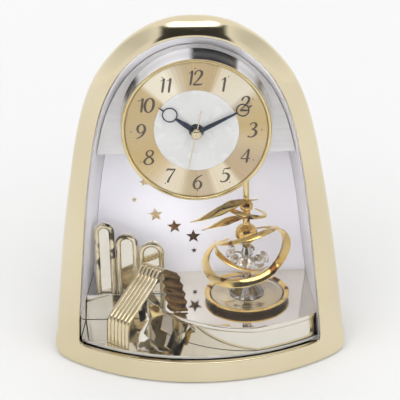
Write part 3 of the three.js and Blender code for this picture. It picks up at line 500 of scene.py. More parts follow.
def sunray_material():
    """Gold brushed from the centre outwards, with a painted reflection: soft light and dark sectors painted
    into the colour round the dial, for the softboxes and room that it mirrors.
    """
    nt, bsdf, at = start("sunray_painted_reflection")
    # painted reflection: the ramp's light and dark sectors stand in for what the brushed ring mirrors; the
    # fine lines below are the real brushing
    colour, where = around(nt, at, [
        (-180, "c5b392"), (-170, "c9b99c"), (-163, "e8dec7"), (-150, "ebe3d3"), (-138, "d8c7a5"),
        (-118, "cbb482"),
        (-95, "c9b68f"), (-62, "c7b48b"), (-50, "ccb88e"), (-46, "f3eedf"), (-26, "f6f1e4"), (-16, "d4c8b1"),
        (-8, "c7b490"), (18, "c5b08b"), (24, "e8e0cd"), (52, "ebe6d9"), (62, "cfbc93"), (84, "c9b486"),
        (102, "d2c19f"), (118, "c5b499"), (140, "c5b092"), (145, "ebe3d0"), (163, "e8dfc9"), (168, "cbbba3"),
    ])
    lines = add(nt, "TexNoise", noise_dimensions="1D")
    feed(nt, lines, {"Scale": 420, "Detail": 3, "W": where})
    lines = lines.outputs["Fac"]
    feed(nt, bsdf, {
        "Base Color": mixed(nt, spread(nt, lines, 0.2, 0.55), colour, rgb("cfc1a4"), blend_type="MULTIPLY"),
        "Roughness": spread(nt, lines, 0.28, 0.4),
        "Metallic": 0.75,
    })
    relief(nt, bsdf, lines, 0.1, 0.0001)


def drum_material():
    """Chrome whose upper crescent has a painted reflection of bright walls, with a few dark patches between
    them, painted into the colour by angle.
    """
    nt, bsdf, at = start("drum_chrome_painted_reflection")
    # painted reflection: white for the walls, near-black for the dark room, set round the drum by angle
    colour, where = around(nt, at, [
        (-180, "d8d4ca"), (-74, "d5d1c7"), (-66, "5f4f3c"), (-54, "241b13"), (-48, "f2f1ee"), (-18, "ffffff"),
        (-5, "fbfbfa"), (-1, "1a150f"), (10, "060504"), (26, "191109"), (32, "5b472b"), (35, "ffffff"),
        (50, "f6f5f2"), (58, "8d8270"), (66, "dedbd3"), (180, "d8d4ca"),
    ])
    rough = spread(nt, noise(nt, at, 60), 0.08, 0.14)
    feed(nt, bsdf, {"Base Color": colour, "Roughness": rough, "Metallic": 0.2, "Specular IOR Level": 0.25})


def gilded(name, bright, deep, shade, scale, rough=(0.08, 0.14)):
    """Polished gold with a painted reflection: dark, rounded patches painted into the colour, for the room
    that a bent band mirrors.
    """
    nt, bsdf, at = start(name)
    base = mixed(nt, spread(nt, noise(nt, at, scale * 0.8), 0, 1), rgb(bright), rgb(deep))
    # painted reflection: patches of the shade colour stand in for the dark room mirrored in the bent metal
    painted_reflection_patch = spread(nt, noise(nt, at, scale, 1.0, 0.4), 0.0, 1.0, 0.57, 0.66)
    feed(nt, bsdf, {
        "Base Color": mixed(nt, painted_reflection_patch, base, rgb(shade)),
        "Roughness": spread(nt, noise(nt, at, scale * 3, 3.0), *rough),
        "Metallic": 1.0,
    })
    relief(nt, bsdf, noise(nt, at, 900), 0.02)


def liner_material():
    """Pearl wall whose lower left part, beside the stage, is mirror foil."""
    nt, bsdf, at = start("pearl_liner")
    split = add(nt, "SeparateXYZ", {0: at}).outputs
    foil = maths(nt, "MULTIPLY", spread(nt, split["X"], 1.0, 0.0, -0.061, -0.060),
                 spread(nt, split["Z"], 1.0, 0.0, 0.034, 0.035))
    pearl = mixed(nt, spread(nt, noise(nt, at, 25, 3.0), 0, 1), rgb("ecebf3"), rgb("f4f3fa"))
    feed(nt, bsdf, {
        "Base Color": mixed(nt, foil, pearl, rgb("e4e4e6")),
        "Roughness": spread(nt, foil, 0.36, 0.06, 0.0, 1.0),
        "Metallic": foil,
    })


def floor_material():
    nt, bsdf, at = start("paper")
    colour = mixed(nt, spread(nt, noise(nt, at, 3), 0, 1), rgb("cdcdcd"), rgb("cfcfcf"))
    feed(nt, bsdf, {"Base Color": colour, "Roughness": 0.9, "Specular IOR Level": 0.1})


crystal_material()
thin_glass("window", (0.985, 0.985, 0.985), 60, 0.02, 0.5, 4.0, (0.02, 0.7, 0.0, 1.0))
thin_glass("dish_glass", (0.995, 0.985, 0.96), 120, 0.03, 0.45, 1.0, (0.05, 0.7, 0.45, 1.0))
thin_glass("cone_glass", (0.80, 0.72, 0.56), 120, 0.03, 0.45, 1.0, (0.35, 0.7, 0.45, 1.0))
sunray_material()
drum_material()
liner_material()
# these finishes carry painted reflection as dark patches in their colour
gilded("ribbon_gold", "ffe7a4", "f4cc74", "71491f", 105)
gilded("hub_gold", "fbe09a", "e8ba62", "4f3417", 130)
gilded("leg_gold", "fbe7ae", "e8c36c", "6b5026", 130)
gilded("leg_chrome", "fbf8f0", "efe6cf", "77684c", 130)
gilded("tube_chrome", "f1e8cf", "dccfab", "54442f", 120)
gilded("fan_bronze", "96794c", "684f30", "3a2a1b", 150, (0.14, 0.26))
floor_material()


# ---- case ----
def front_frame():
    def loop(half, corner):
        """The closed outline through half an arch, a lower corner and a straight base."""
        half = smooth(half, 18)
        x_end, z_end = corner[-1]
        base = [(x_end * (i / 6 - 1), z_end) for i in range(1, 12)]
        points = half + mirrored(half[:-1]) + [(-x, z) for x, z in corner] + base + corner[::-1]
        return smooth(points, 5 * len(points), True)

    loop_in = loop(INNER, [(80.4, 16.9), (79.4, 15.9), (77.8, 15.5)])
    loop_out = loop(OUTER, [(98.5, 4.9), (96.2, 2.0), (91.5, FOOT_H)])
    # the rim's section at its sides and along its base: share of the rim's width, height above the bow
    side = [(0, 3.9), (0.015, 4.45), (0.06, 4.8), (0.3, 4.0), (0.45, 3.1), (0.6, 2.0), (0.74, 0.7),
            (0.86, -0.7), (0.95, -2.3), (1, -4.4), (0.985, -7), (0.93, -9)]
    base = [(0, 1.4), (0.02, 1.9), (0.06, 2.2), (0.3, 2.7), (0.45, 3.0), (0.6, 3.3), (0.74, 3.6),
            (0.86, 3.7), (0.95, 3.1), (1, 1.2), (1, -5), (0.93, -9)]
    back = [(0.64, -9), (0.42, -9), (0.42, -5), (0.42, -1.2), (0.21, -1.2)]
    rows = []
    for (xi, zi), (xo, zo) in zip(loop_in, loop_out):
        b = min(max((30 - zo) / 22, 0), 1)
        b = b * b * (3 - 2 * b)
        lip = smooth([(u * (1 - b) + v * b, w * (1 - b) + h * b) for (u, w), (v, h) in zip(side, base)], 44)
        row = []
        for u, w in [(0, -1.2)] + lip + back:
            x = xi + (xo - xi) * u
            row.append((x, bow_y(x) - w, zi + (zo - zi) * u))
        rows.append(row)
    build("front_frame_gilt", grid(rows, ring=True), "champagne", "case", ("front_frame",), 40)


def front_window():
    edge = arch(HALF_IN, 3.4, 11.2)
    right = edge[:len(HALF_IN) + 1]
    cols = 40
    rows = []
    for x, z in right:
        xs = [x * (1 - 2 * k / cols) for k in range(cols + 1)]
        front = [(u, bow_y(u, BOW_R - 1.8), z) for u in xs]
        back = [(u, bow_y(u, BOW_R - 3.4), z) for u in reversed(xs)]
        rows.append(front + back)
    build("front_window_clear", grid(rows, caps=True), "window", "case", ("front_window",), 40)


def walls():
    shell_base = (SHELL_FRONT_Y, CASE_BACK_Y, SHELL_KX, SHELL_KZ, FOOT_H)
    shape = sleeve(arch(HALF_OUT, -4.4, FOOT_H), arch(HALF_OUT, -6.8, FOOT_H), shell_base, CASE_BACK_Y,
                   BOW_R - 9.3, False)
    build("case_shell_gilt", shape, "champagne_plastic", "case", ("case_shell",), 40)
    liner_base = (LINER_FRONT_Y, LINER_BACK_Y, LINER_KX, LINER_KZ, LINER_Z)
    shape = sleeve(arch(HALF_IN, 2.4, 12.2), arch(HALF_IN, 1.3, 13.3), liner_base, LINER_BACK_Y - 0.1,
                   BOW_R - 3.7, True)
    build("side_liner_pearl", shape, "pearl_liner", "case", ("side_liner",), 40)
    keep("back_wall", "pearl")
    floor = refined("lower_floor", "mirror", "case", 0.2)
    floor.data.materials.append(MATS["floor_edge"])
    for face in floor.data.polygons:
        if face.normal.y < -0.5:
            face.material_index = 1
    keep("base_plate", "black_plastic")
    for i in range(1, 5):
        refined(f"foot_{i}", "rubber", "case", 0.15)


def rear():
    t = (51.0 - SHELL_FRONT_Y) / (CASE_BACK_Y - SHELL_FRONT_Y)
    kx, kz = 1 + (SHELL_KX - 1) * t, 1 + (SHELL_KZ - 1) * t
    outline = [(x * kx, FOOT_H + (z - FOOT_H) * kz) for x, z in arch(HALF_OUT, -7.15, FOOT_H + 2.75)]

    def opening(x0, x1, z0, z1, radius, steps):
        return fillet([(x0, z0), (x1, z0), (x1, z1), (x0, z1)], radius, steps, True)

    holes = [opening(-33.4, 35.4, 150.1, 181.9, 1.2, 4), opening(-46, -34, 19.8, 24.2, 0.8, 3)]
    holes += [opening(-24, 24, z - 1.4, z + 1.4, 1.25, 5) for z in range(58, 95, 9)]
    build("rear_cover_panel", slab(outline, 49.8, 52.1, holes=holes, edge=0.45, steps=3), "champagne_plastic",
          "case", ("rear_cover",), 40)
    refined("access_door", "champagne_plastic", "door", 0.3)
    refined("pendulum_switch", "black_plastic", "switch", 0.3)
    knob = [(0, -1.2), (1.7, -1.2), (1.7, 7.2), (5.2, 7.2), (5.6, 7.7), (5.6, 12.4), (5.0, 13), (1.6, 13),
            (1.2, 12.6), (0, 12.6)]

    def fluted(r, a):
        return r + (0.28 * math.cos(a * 30) if r > 5.4 else 0)

    shape = lathe(knob, KNOB, "Y", 120, 0.4, ripple=fluted)
    build("set_knob_turned", shape, "black_plastic", "knob", ("set_knob",), 40)


def movement():
    for node in ("movement_tray", "movement_cover"):
        refined(node, "black_plastic", "case", 0.3)
    refined("battery", "cell_blue", "case", 0.3)
    refined("pendulum_motor", "black_plastic", "case", 0.3)
    keep("circuit_and_coil", "board_green")
    for node in ("hour_wheel", "centre_wheel", "second_wheel"):
        keep(node, "brass")
    top = liner_at(0.9, PLATE_Y + 1)
    outline = [(x, z) for x, z in top if z > HOUSING_Z + 1]
    w = width_at(top, HOUSING_Z)
    outline = [(w, HOUSING_Z)] + outline + [(-w, HOUSING_Z)]
    face = slab(outline, PLATE_Y, PLATE_Y + 2.2, holes=[circle(5, *DIAL)], edge=0.2)
    back = width_at(liner_at(0.9, 45), HOUSING_Z + 1)
    outline = [(-w, PLATE_Y + 2.2), (w, PLATE_Y + 2.2), (back, WALL_Y), (-back, WALL_Y)]
    sill = slab(outline, HOUSING_Z, HOUSING_Z + 2.2, "Z", holes=[circle(3.6, *AXIS)], edge=0.2)
    bush = lathe([(2.4, 146.4), (5.2, 146.4), (5.2, 150), (2.4, 150)], AXIS, rounding=0.5, closed=True)
    shape = join(face, sill, bush)
    build("movement_housing_satin", shape, "silver_satin", "case", ("movement_housing",), flat=0.4)


# ---- dial and hands ----
# strokes of each numeral as (across, up, half the pen's width), in numeral heights
DIGITS = {
    "1": [
        [(.1, .8, .016), (.2, .85, .02), (.3, .97, .04)],
        [(.31, 1, .05), (.31, .5, .055), (.31, 0, .05)],
    ],
    "2": [
        [(.07, .7, .045), (.11, .88, .04), (.28, 1, .028), (.46, .9, .055), (.48, .7, .062),
         (.36, .45, .045), (.18, .2, .03), (.04, .05, .02)],
        [(.04, .045, .05), (.3, .045, .05), (.53, .05, .035), (.6, .15, .015)],
    ],
    "3": [
        [(.08, .84, .035), (.2, .98, .026), (.38, .96, .042), (.46, .8, .058), (.38, .62, .04),
         (.2, .54, .02)],
        [(.2, .54, .02), (.4, .5, .042), (.52, .3, .065), (.42, .08, .048), (.2, 0, .027),
         (.04, .08, .04)],
    ],
    "4": [
        [(.44, 1, .03), (.24, .66, .026), (.03, .32, .02)],
        [(.02, .3, .028), (.3, .29, .03), (.62, .31, .02)],
        [(.44, .98, .045), (.43, .5, .055), (.42, 0, .055)],
    ],
    "5": [
        [(.54, .99, .04), (.34, .95, .038), (.17, .95, .02)],
        [(.17, .96, .02), (.14, .75, .02), (.11, .56, .018)],
        [(.11, .56, .02), (.28, .62, .035), (.48, .5, .062), (.5, .26, .064), (.36, .05, .045),
         (.18, 0, .03), (.02, .07, .04)],
    ],
    "6": [
        [(.5, 1, .022), (.25, .84, .04), (.08, .55, .058), (.07, .25, .06), (.2, .03, .036),
         (.34, 0, .03), (.48, .14, .058), (.5, .35, .058), (.4, .55, .036), (.28, .6, .026),
         (.12, .46, .03)],
    ],
    "7": [
        [(.03, .82, .02), (.06, .96, .04), (.3, .94, .05), (.55, .97, .03)],
        [(.55, .97, .03), (.38, .6, .035), (.24, .25, .048), (.19, 0, .058)],
    ],
    "8": [
        [(.28, .54, .036), (.1, .68, .048), (.1, .88, .042), (.28, 1, .026), (.46, .88, .048),
         (.44, .68, .042), (.28, .54, .036), (.1, .4, .048), (.02, .2, .06), (.12, .03, .036),
         (.28, 0, .026), (.46, .06, .042), (.54, .22, .06), (.44, .42, .048), (.28, .54, .036)],
    ],
    "0": [
        [(.28, 1, .026), (.1, .85, .052), (.02, .5, .064), (.1, .15, .052), (.28, 0, .026),
         (.46, .15, .052), (.54, .5, .064), (.46, .85, .052), (.28, 1, .026)],
    ],
}
DIGITS["9"] = [[(.56 - x, 1 - z, w) for x, z, w in DIGITS["6"][0]]]


def pen(stroke, place, y0, y1):
    """One stroke of a broad pen: a flat band of changing width, with round ends."""
    f = spline(stroke)
    steps = 9 * (len(stroke) - 1)
    pts = [f(i / steps) for i in range(steps + 1)]
    left, right = [], []
    for i, p in enumerate(pts):
        a, b = pts[max(i - 1, 0)], pts[min(i + 1, steps)]
        d = Vector((b.x - a.x, b.y - a.y)).normalized()
        ends = min(i, steps - i)
        w = p.z * 1.3 * (0.45, 0.85, 1.0)[min(ends, 2)]
        left.append(place(p.x - d.y * w, p.y + d.x * w))
        right.append(place(p.x + d.y * w, p.y - d.x * w))
    rows = [[(a[0], y0, a[1]), (b[0], y0, b[1]), (b[0], y1, b[1]), (a[0], y1, a[1])]
            for a, b in zip(left, right)]
    return grid(rows, caps=True)


def dial():
    cx, cz = DIAL
    here = (cx, 0, cz)
    bore, y, size = 4.7, DIAL_Y, 9.6
    numeral_r, dot_r = 34.9, 40.9

    def turn(profile):
        return lathe(profile, DIAL, "Y", 160, closed=True)

    skin = smooth([(45.6, -28.4), (46.2, -27.4), (46.6, -25), (46.8, -20), (47.2, -15), (48.4, -12.4)], 24)
    drum = turn([(44.9, -28.4)] + skin + [(48.4, -12.2), (44.9, -12.2)])
    # the drum's colour is a painted reflection
    build("dial_drum_chrome", drum, "drum_chrome_painted_reflection", "case", ("dial_drum",), 40, here)
    lip = smooth([(44.9, -30.4), (45.3, -31.4), (46.2, -31.9), (47.0, -31.3), (47.1, -30), (46.5, -28.7)], 20)
    build("dial_bezel_gold", turn(lip + [(44.9, -28.7)]), "pale_gold", "case", ("dial_bezel",), 50)
    ring = turn([(bore, y), (DIAL_R, y), (DIAL_R, y + 1.2), (bore, y + 1.2)])
    # the ring's colour carries a painted reflection in light and dark sectors
    build("dial_ring_sunray_painted_reflection", ring, "sunray_painted_reflection", "case", ("dial_plate",), 40, here)
    disc = turn([(bore, y - 0.35), (26.5, y - 0.4), (26.8, y - 0.1), (26.8, y + 0.2), (bore, y + 0.2)])
    build("dial_centre_white", disc, "white_lacquer", "case", ("dial_plate",), 40, here)
    marks = []
    y0, y1 = y - 0.07, y + 0.02
    for hour in range(1, 13):
        a = math.radians(30 * hour)
        text = str(hour)
        wide = {1: 0.40, 2: 0.98}[len(text)] * size
        x0, z0 = cx + numeral_r * math.sin(a) - wide / 2, cz + numeral_r * math.cos(a) - size / 2
        x0 -= {10: 1.7, 12: 0.9}.get(hour, 1.0)
        for k, ch in enumerate(text):
            shift = x0 + k * 0.42 * size - {"1": 0.08, "0": 0.0}.get(ch, 0.06) * size

            def place(u, v):
                return shift + (1.08 * u + 0.16 * v) * size, z0 + v * size
            marks += [pen(stroke, place, y0, y1) for stroke in DIGITS[ch]]
        dot = circle(0.42, cx + dot_r * math.sin(a), cz + dot_r * math.cos(a), 16)
        marks.append(slab(dot, y0, y1, edge=0))
    build("dial_marks_printed", join(*marks), "print", "case", (), 30)


def turned(points, degrees):
    """(x, z) drawn upwards from the dial centre, turned clockwise."""
    a = math.radians(degrees)
    return [(DIAL[0] + x * math.cos(a) + z * math.sin(a), DIAL[1] - x * math.sin(a) + z * math.cos(a))
            for x, z in points]


def breguet(hand, degrees, length, ring_at, ring_r, root, neck, bore, hub_r, y0):
    """A slim hand with an open ring near its tip. root and neck are half widths."""
    def part(points, holes=(), edge=0.14):
        cuts = [turned(h, degrees) for h in holes]
        return slab(turned(points, degrees), y0, y0 + 0.6, holes=cuts, edge=edge)

    side = smooth([(root * 0.8, hub_r * 0.7), (root, ring_at * 0.22), (root * 0.9, ring_at * 0.45),
                   (neck, ring_at - ring_r * 0.95)], 18)
    shank = side + mirrored(side)
    side = [(0.55, ring_at + ring_r - 0.5), (0.42, ring_at + ring_r + 1.2), (0.13, length)]
    tip = side + mirrored(side)
    ring = part(circle(ring_r, 0, ring_at), [circle(ring_r - 0.75, 0, ring_at)])
    hub = part(circle(hub_r), [circle(bore, n=40)])
    shapes = [part(shank), ring, part(tip, edge=0.05), hub]
    build(hand + "_hand_blued", join(*shapes), "blued_steel", hand, (hand + "_hand",), 30)


def hands():
    breguet("hour", 305.3, 28.6, 20, 4.9, 1.75, 0.75, 2.95, 3.9, -32.6)
    breguet("minute", 63.2, 39, 32.4, 4.2, 1.35, 0.6, 1.95, 3.3, -34.2)
    needle = [(-0.32, -15.8), (0.32, -15.8), (0.3, 10), (0.12, 33.4), (-0.12, 33.4), (-0.3, 10)]
    cap = [(0, -38.6), (1.9, -38.5), (2.8, -38.1), (3.3, -37.3), (3.3, -35.5), (1.1, -35.5), (1.1, -37.0),
           (0, -37.0)]
    shapes = [slab(turned(needle, 193), -35.6, -35.2, edge=0.1), lathe(cap, DIAL, "Y", 64, rounding=0.6)]
    build("second_hand_gold", join(*shapes), "champagne", "second", ("second_hand",), 40)


# ---- stage and arches ----
def stage():
    behind_pane = BOW_R - 4.4

    def wall_x(y, z):
        return width_at(liner_at(0.9, y), z)

    def outline(shrink):
        r = STAGE_R - shrink
        y_left = ARCADE_Y - 0.3 - shrink
        a0 = math.pi + math.asin((STAGE_C[1] - y_left) / r)
        pts = []
        steps = 150
        for i in range(steps + 1):
            a = a0 + (2 * math.pi - a0) * i / steps
            x, y = polar(r, a, STAGE_C)
            y = max(y, bow_y(x, behind_pane) + shrink)
            limit = wall_x(y, 26) - shrink * 0.8
            if x > limit:
                pts.append((limit, y))
                break
            pts.append((x, y))
        y0 = pts[-1][1]
        y_back = WALL_Y + 0.1 - shrink
        for i in range(1, 7):
            y = y0 + (y_back - y0) * i / 6
            pts.append((wall_x(y, 26) - shrink * 0.8, y))
        left = -22.2 + shrink
        pts += [(left, y_back), (left, y_left)]
        return pts

    hole = circle(2.6, *AXIS, 32)
    top = slab(outline(0), STAGE_Z - 2.2, STAGE_Z, "Z", holes=[hole], edge=0.12)
    skirt = slab(outline(0), FLOOR_Z + 0.3, STAGE_Z - 2.2, "Z", holes=[outline(2.2)], edge=0)
    edge = STAGE_R - 0.2
    bead = [(0, 31.2), (1.0, 31.3), (1.5, 32.2), (1.5, 34.0), (1.0, 34.8), (0, 34.9)]
    bead = smooth([(edge + out, z) for out, z in bead], 15)
    rows = []
    for i in range(161):
        a = math.radians(-153.5 + 97.5 * i / 160)
        x, y = polar(edge, a, STAGE_C)
        if x > wall_x(y, 34) - 1.6:
            break
        row = []
        for r, z in bead:
            x, y = polar(r, a, STAGE_C)
            row.append((x, max(y, bow_y(x, behind_pane + 0.55 * (r - edge))), z))
        rows.append(row)
    shape = join(top, skirt, grid(rows, caps=True))
    build("stage_mirror", shape, "mirror", "case", ("stage",), 30, flat=0.4)
    refined("arcade_base", "chrome", "case", 0.35, 3)


def hoop(name, x0, x1, top):
    """A standing tube bent over at the top, from x0 to x1, with a mirror panel inside it."""
    rt, y, depth = 1.9, 11.2, 9.0
    mid, bend = (x0 + x1) / 2, (x1 - x0) / 2 - rt
    z0, z_bend = STAGE_Z + 0.2, top - rt - bend
    path = [(x0 + rt, z0), (x0 + rt, (z0 + z_bend) / 2), (x0 + rt, z_bend)]
    path += [polar(bend, math.pi - math.pi * i / 32, (mid, z_bend)) for i in range(1, 32)]
    path += [(x1 - rt, z_bend), (x1 - rt, (z0 + z_bend) / 2), (x1 - rt, z0)]
    bar = tube([(x, y + rt, z) for x, z in path], rt, 28)
    panel = slab([(x, z) for x, z in reversed(path)], y + rt - 0.6, y + depth, edge=0.25)
    build(name + "_tube", bar, "tube_chrome", "case", (name,), 50)
    build(name + "_panel", panel, "mirror", "case", (name,), 30, flat=0.4)


def stars():
    spots = [(-3.7, 62.1, 5.4, 0), (-3.4, 51.1, 2.2, 0), (-16.8, 69.9, 5.4, 0.06), (-29.7, 79.2, 5.4, 0.1),
             (-36.9, 104.2, 3.6, 0.2), (-44.4, 91.0, 2.2, 0.1)]
    looks = ["star_dark", "star_dark", "star_brown", "star_pale", "star_pale", "star_pale"]
    for i, (x, z, r, turn) in enumerate(spots):
        angles = [math.pi / 2 + turn + k * math.pi / 5 for k in range(10)]
        tips = [polar(r * 0.42 if k % 2 else r, a, (x, z)) for k, a in enumerate(angles)]
        foil = slab(tips, WALL_Y, WALL_Y + 0.35, edge=0.12)
        build(f"star_{i + 1}_foil", foil, looks[i], "case", (f"star_{i + 1}",), 20)


# ---- folded metal in front of the arches ----
def strap():
    foot, way = (-55.0, -27.4), (0.61, 0.79)
    path = [(0.4, FLOOR_Z + 0.2), (0.9, 24), (1.4, 31), (2.6, 34.6), (5.6, 37), (15, 42.8), (26, 49.6),
            (33, 54), (36.2, 57.4), (38.0, 59.2), (40.0, 59.4), (41.0, 57.4)]
    f = spline(path)
    n = 110
    ribs, width = 6, 18.6
    across = []
    for i in range(ribs * 12 + 1):
        u = i / (ribs * 12)
        across.append(((u - 0.5) * width, 0.75 + 0.62 * abs(math.sin(math.pi * u * ribs)) ** 0.5))
    under = [(width / 2, -0.5), (0, -0.5), (-width / 2, -0.5)]
    rows = []
    for i in range(n + 1):
        t = i / n
        s, z = f(t)
        a, b = f(max(t - 0.004, 0)), f(min(t + 0.004, 1))
        d = (b - a).normalized()
        row = []
        for w, h in across + under:
            along = s - d.y * h
            row.append((foot[0] + way[0] * along + way[1] * w, foot[1] + way[1] * along - way[0] * w,
                        max(z + d.x * h, FLOOR_Z + 0.2)))
        rows.append(row)
    build("ribbed_strap_gold", grid(rows, caps=True), "strap_gold", "case", ("ribbed_strap",), 50)


def folds():
    refined("pleated_fan", "fan_bronze", "case", 0.18, 2, 20)
    refined("folded_leg_1", "leg_gold", "case", 0.15, 2, 15)
    refined("folded_leg_2", "leg_chrome", "case", 0.15, 2, 15)


# ---- rotating ornament ----
def gem(size, centre, tilt, turn):
    """A cut stone: table, two rows of crown facets, girdle and pavilion."""
    n = 10
    rings = [(0.50, 0.56, 0.0), (0.80, 0.34, 0.5), (1.0, 0.10, 0.0), (1.0, -0.06, 0.0), (0.55, -0.46, 0.5)]
    rot = Matrix.Rotation(math.radians(turn), 3, "Z") @ Matrix.Rotation(math.radians(tilt), 3, "Y")
    points = [(*polar(r * size, 2 * math.pi * (i + shift) / n), h * size)
              for r, h, shift in rings for i in range(n)]
    points.append((0, 0, -0.80 * size))
    verts = [tuple(Vector(centre) + rot @ Vector(p)) for p in points]
    faces = [tuple(range(n))]
    for i in range(n):
        k = (i + 1) % n
        for a, b in ((0, n), (3 * n, 4 * n)):
            faces.extend([(a + i, b + i, a + k), (a + k, b + i, b + k)])
        faces.extend([(n + i, 2 * n + i, 2 * n + k), (n + i, 2 * n + k, n + k)])
        faces.append((2 * n + i, 2 * n + k, 3 * n + k, 3 * n + i))
        faces.append((4 * n + i, 4 * n + k, 5 * n))
    return verts, faces


def ornament_base():
    table = [(0, 22), (1.6, 22), (1.6, 34.9), (28.0, 34.9), (28.3, 35.2), (28.3, 37.6), (24.6, 37.6),
             (24.6, 37.2), (0, 37.2)]
    table = lathe(table, AXIS, "Z", 128, 0.15)
    # the turntable's dark colour is a painted reflection
    build("turntable_dark", table, "polish_painted_dark_reflection", "ornament", ("turntable",), 40)
    plate = [(0, 37.25), (24.4, 37.25), (24.4, 37.6), (20.6, 37.6), (20.0, 37.9), (0, 37.9)]
    plate = lathe(plate, AXIS, "Z", 128)
    build("turntable_plate_gold", plate, "plate_gold", "ornament", ("turntable",), 40)
    rim = smooth([(25.2, 37.9), (28.5, 37.9), (28.9, 38.3), (28.7, 39.0), (27.6, 39.2), (25.6, 38.5)], 30)
    rim = lathe(rim, AXIS, "Z", 128, closed=True)
    build("turntable_rim_gold", rim, "ribbon_gold", "ornament", ("turntable_rim",), 50)
    ring = [(10.4, 38.2), (24.4, 38.2), (24.8, 38.8), (24.0, 39.8), (21.4, 41.0), (16.0, 42.0), (12.6, 41.6),
            (12.0, 39.2), (10.4, 39.0)]
    ring = lathe(ring, AXIS, "Z", 96, 0.5, True)
    build("glass_ring", ring, "dish_glass", "ornament", ("glass_base",), 40)
    cone = [(12.0, 38.2), (11.8, 39.2), (8.0, 43.4), (5.0, 46.4), (3.9, 48.0)]

    def pleated(r, a):
        return r * 0.84 if 3.9 < r < 12.0 and math.cos(16 * a) < 0 else r

    shape = lathe(cone, AXIS, "Z", 32, ripple=pleated, caps=True)
    build("glass_cone", shape, "cone_glass", "ornament", ("glass_base",), 10)
    stem = [(0, 47.6), (3.5, 47.6), (3.7, 48.4), (3.0, 50.5), (2.9, 55.5), (3.2, 58.5), (3.7, 60.0),
            (3.7, 60.6), (0, 60.6)]
    stem = lathe(stem, AXIS, "Z", 48, 0.3)
    build("glass_stem", stem, "crystal", "ornament", ("glass_base",), 50)


def ornament_hubs():
    hub = [(0, 60.9), (4.4, 60.9), (5.2, 62.4), (3.0, 64.2), (3.4, 66.4), (4.6, 68.0), (3.2, 70.4),
           (2.5, 73.2), (0, 73.2)]
    shapes = [lathe(hub, AXIS, "Z", 64, 0.5)]
    spots = [(168, 11.0, 68.2, 4.8), (208, 9.2, 65.2, 4.0), (262, 9.8, 65.4, 4.3), (318, 10.8, 65.2, 4.8),
             (12, 12.4, 63.6, 4.6), (80, 10.0, 66.6, 4.3)]
    for i, (deg, r, z, size) in enumerate(spots):
        a = math.radians(deg)
        shapes.append(tube([(*AXIS, z), (*polar(r - 0.5, a, AXIS), z)], 0.7, 12))
        stone = gem(size, (*polar(r, a, AXIS), z), 62, deg)
        build(f"crystal_{i + 1}", stone, "crystal", "ornament", ("crystal_hub",), 5)
    build("crystal_hub_chrome", join(*shapes), "chrome", "ornament", ("crystal_hub",), 40)
    knops = [(3.4, 76), (6.9, 79.6), (7.6, 82.6), (6.9, 85.8), (5.0, 88.2), (2.8, 89.4), (2.4, 92.4),
             (3.0, 96.8), (2.6, 99.4), (4.2, 101.2), (4.7, 103.2), (4.0, 105.2), (2.5, 106.4)]
    upper = [(0, 73.6), (2.6, 73.6)] + smooth(knops, 60) + [(0, 106.4)]
    build("upper_hub_gold", lathe(upper, AXIS, "Z", 64), "hub_gold", "ornament", ("upper_hub",), 50)
    rod = lathe([(0, 106.7), (2.05, 106.7), (2.05, 151.4), (0, 151.4)], AXIS, "Z", 48, 0.3)
    build("spindle_rod_gold", rod, "pale_gold", "ornament", ("spindle_rod",), 50)


RIBBONS = {
    "orbit_ribbon": [
        (-12.0, 21.5, 68.5, 1.6, -10), (-22.5, 14.5, 66.8, 2.3, -16), (-27.8, 1.0, 61.0, 2.8, -22),
        (-21.0, -18.0, 57.4, 3.0, -38), (-4.8, -26.6, 58.6, 2.9, -52), (12.0, -24.4, 63.2, 2.8, -44),
        (22.4, -15.0, 70.4, 2.9, -26), (27.0, 0.5, 76.2, 3.0, -12), (23.8, 14.0, 78.0, 2.5, -8),
        (13.5, 20.6, 77.4, 1.5, 0), (5.5, 20.2, 76.4, 0.5, 0),
    ],
    "inner_ribbon": [
        (-21.0, 2.0, 72.8, 0.7, -10), (-18.8, -8.5, 71.6, 2.1, -18), (-10.5, -15.4, 67.2, 1.8, -22),
        (-1.0, -16.9, 63.6, 1.3, -14), (9.0, -15.3, 62.8, 0.9, -6), (14.0, -11.5, 63.4, 0.5, 0),
    ],
    "halo_ribbon": [
        (-21.5, 4.0, 75.8, 0.6, 0), (-18.5, -10.3, 80.4, 1.9, -20), (-7.0, -18.8, 85.4, 2.3, -34),
        (6.5, -19.0, 89.6, 2.4, -32), (16.6, -10.8, 90.4, 2.3, -16), (20.0, 2.0, 86.6, 1.9, -6),
        (14.5, 13.0, 81.2, 1.2, 0), (6.0, 15.5, 79.2, 0.5, 0),
    ],
    "leaf_ribbon_1": [
        (-37.6, -2.6, 92.8, 0.5, 0), (-29.0, -8.3, 98.2, 2.3, -24), (-18.0, -9.3, 103.6, 3.4, -40),
        (-8.0, -6.6, 107.4, 3.4, -30), (-1.2, -4.6, 108.8, 2.0, -10), (3.8, -3.4, 108.6, 1.1, 0),
        (7.6, -0.6, 107.8, 0.5, 0),
    ],
    "leaf_ribbon_2": [
        (-29.6, -1.5, 86.2, 0.5, 0), (-22.0, -5.5, 91.2, 2.1, -26), (-14.0, -7.2, 94.8, 3.0, -38),
        (-6.6, -6.2, 96.8, 2.8, -20), (0.5, -5.0, 97.2, 1.1, 0),
    ],
    "crown_ribbon": [
        (-9.5, 8.6, 103.6, 0.5, 0), (-13.4, 0.5, 104.6, 1.5, -10), (-8.0, -9.8, 103.4, 2.0, -30),
        (2.0, -12.4, 100.8, 2.1, -34), (10.5, -7.6, 98.4, 1.8, -16), (11.8, 1.6, 96.8, 1.3, 0),
        (6.0, 8.2, 97.2, 0.5, 0),
    ],
}


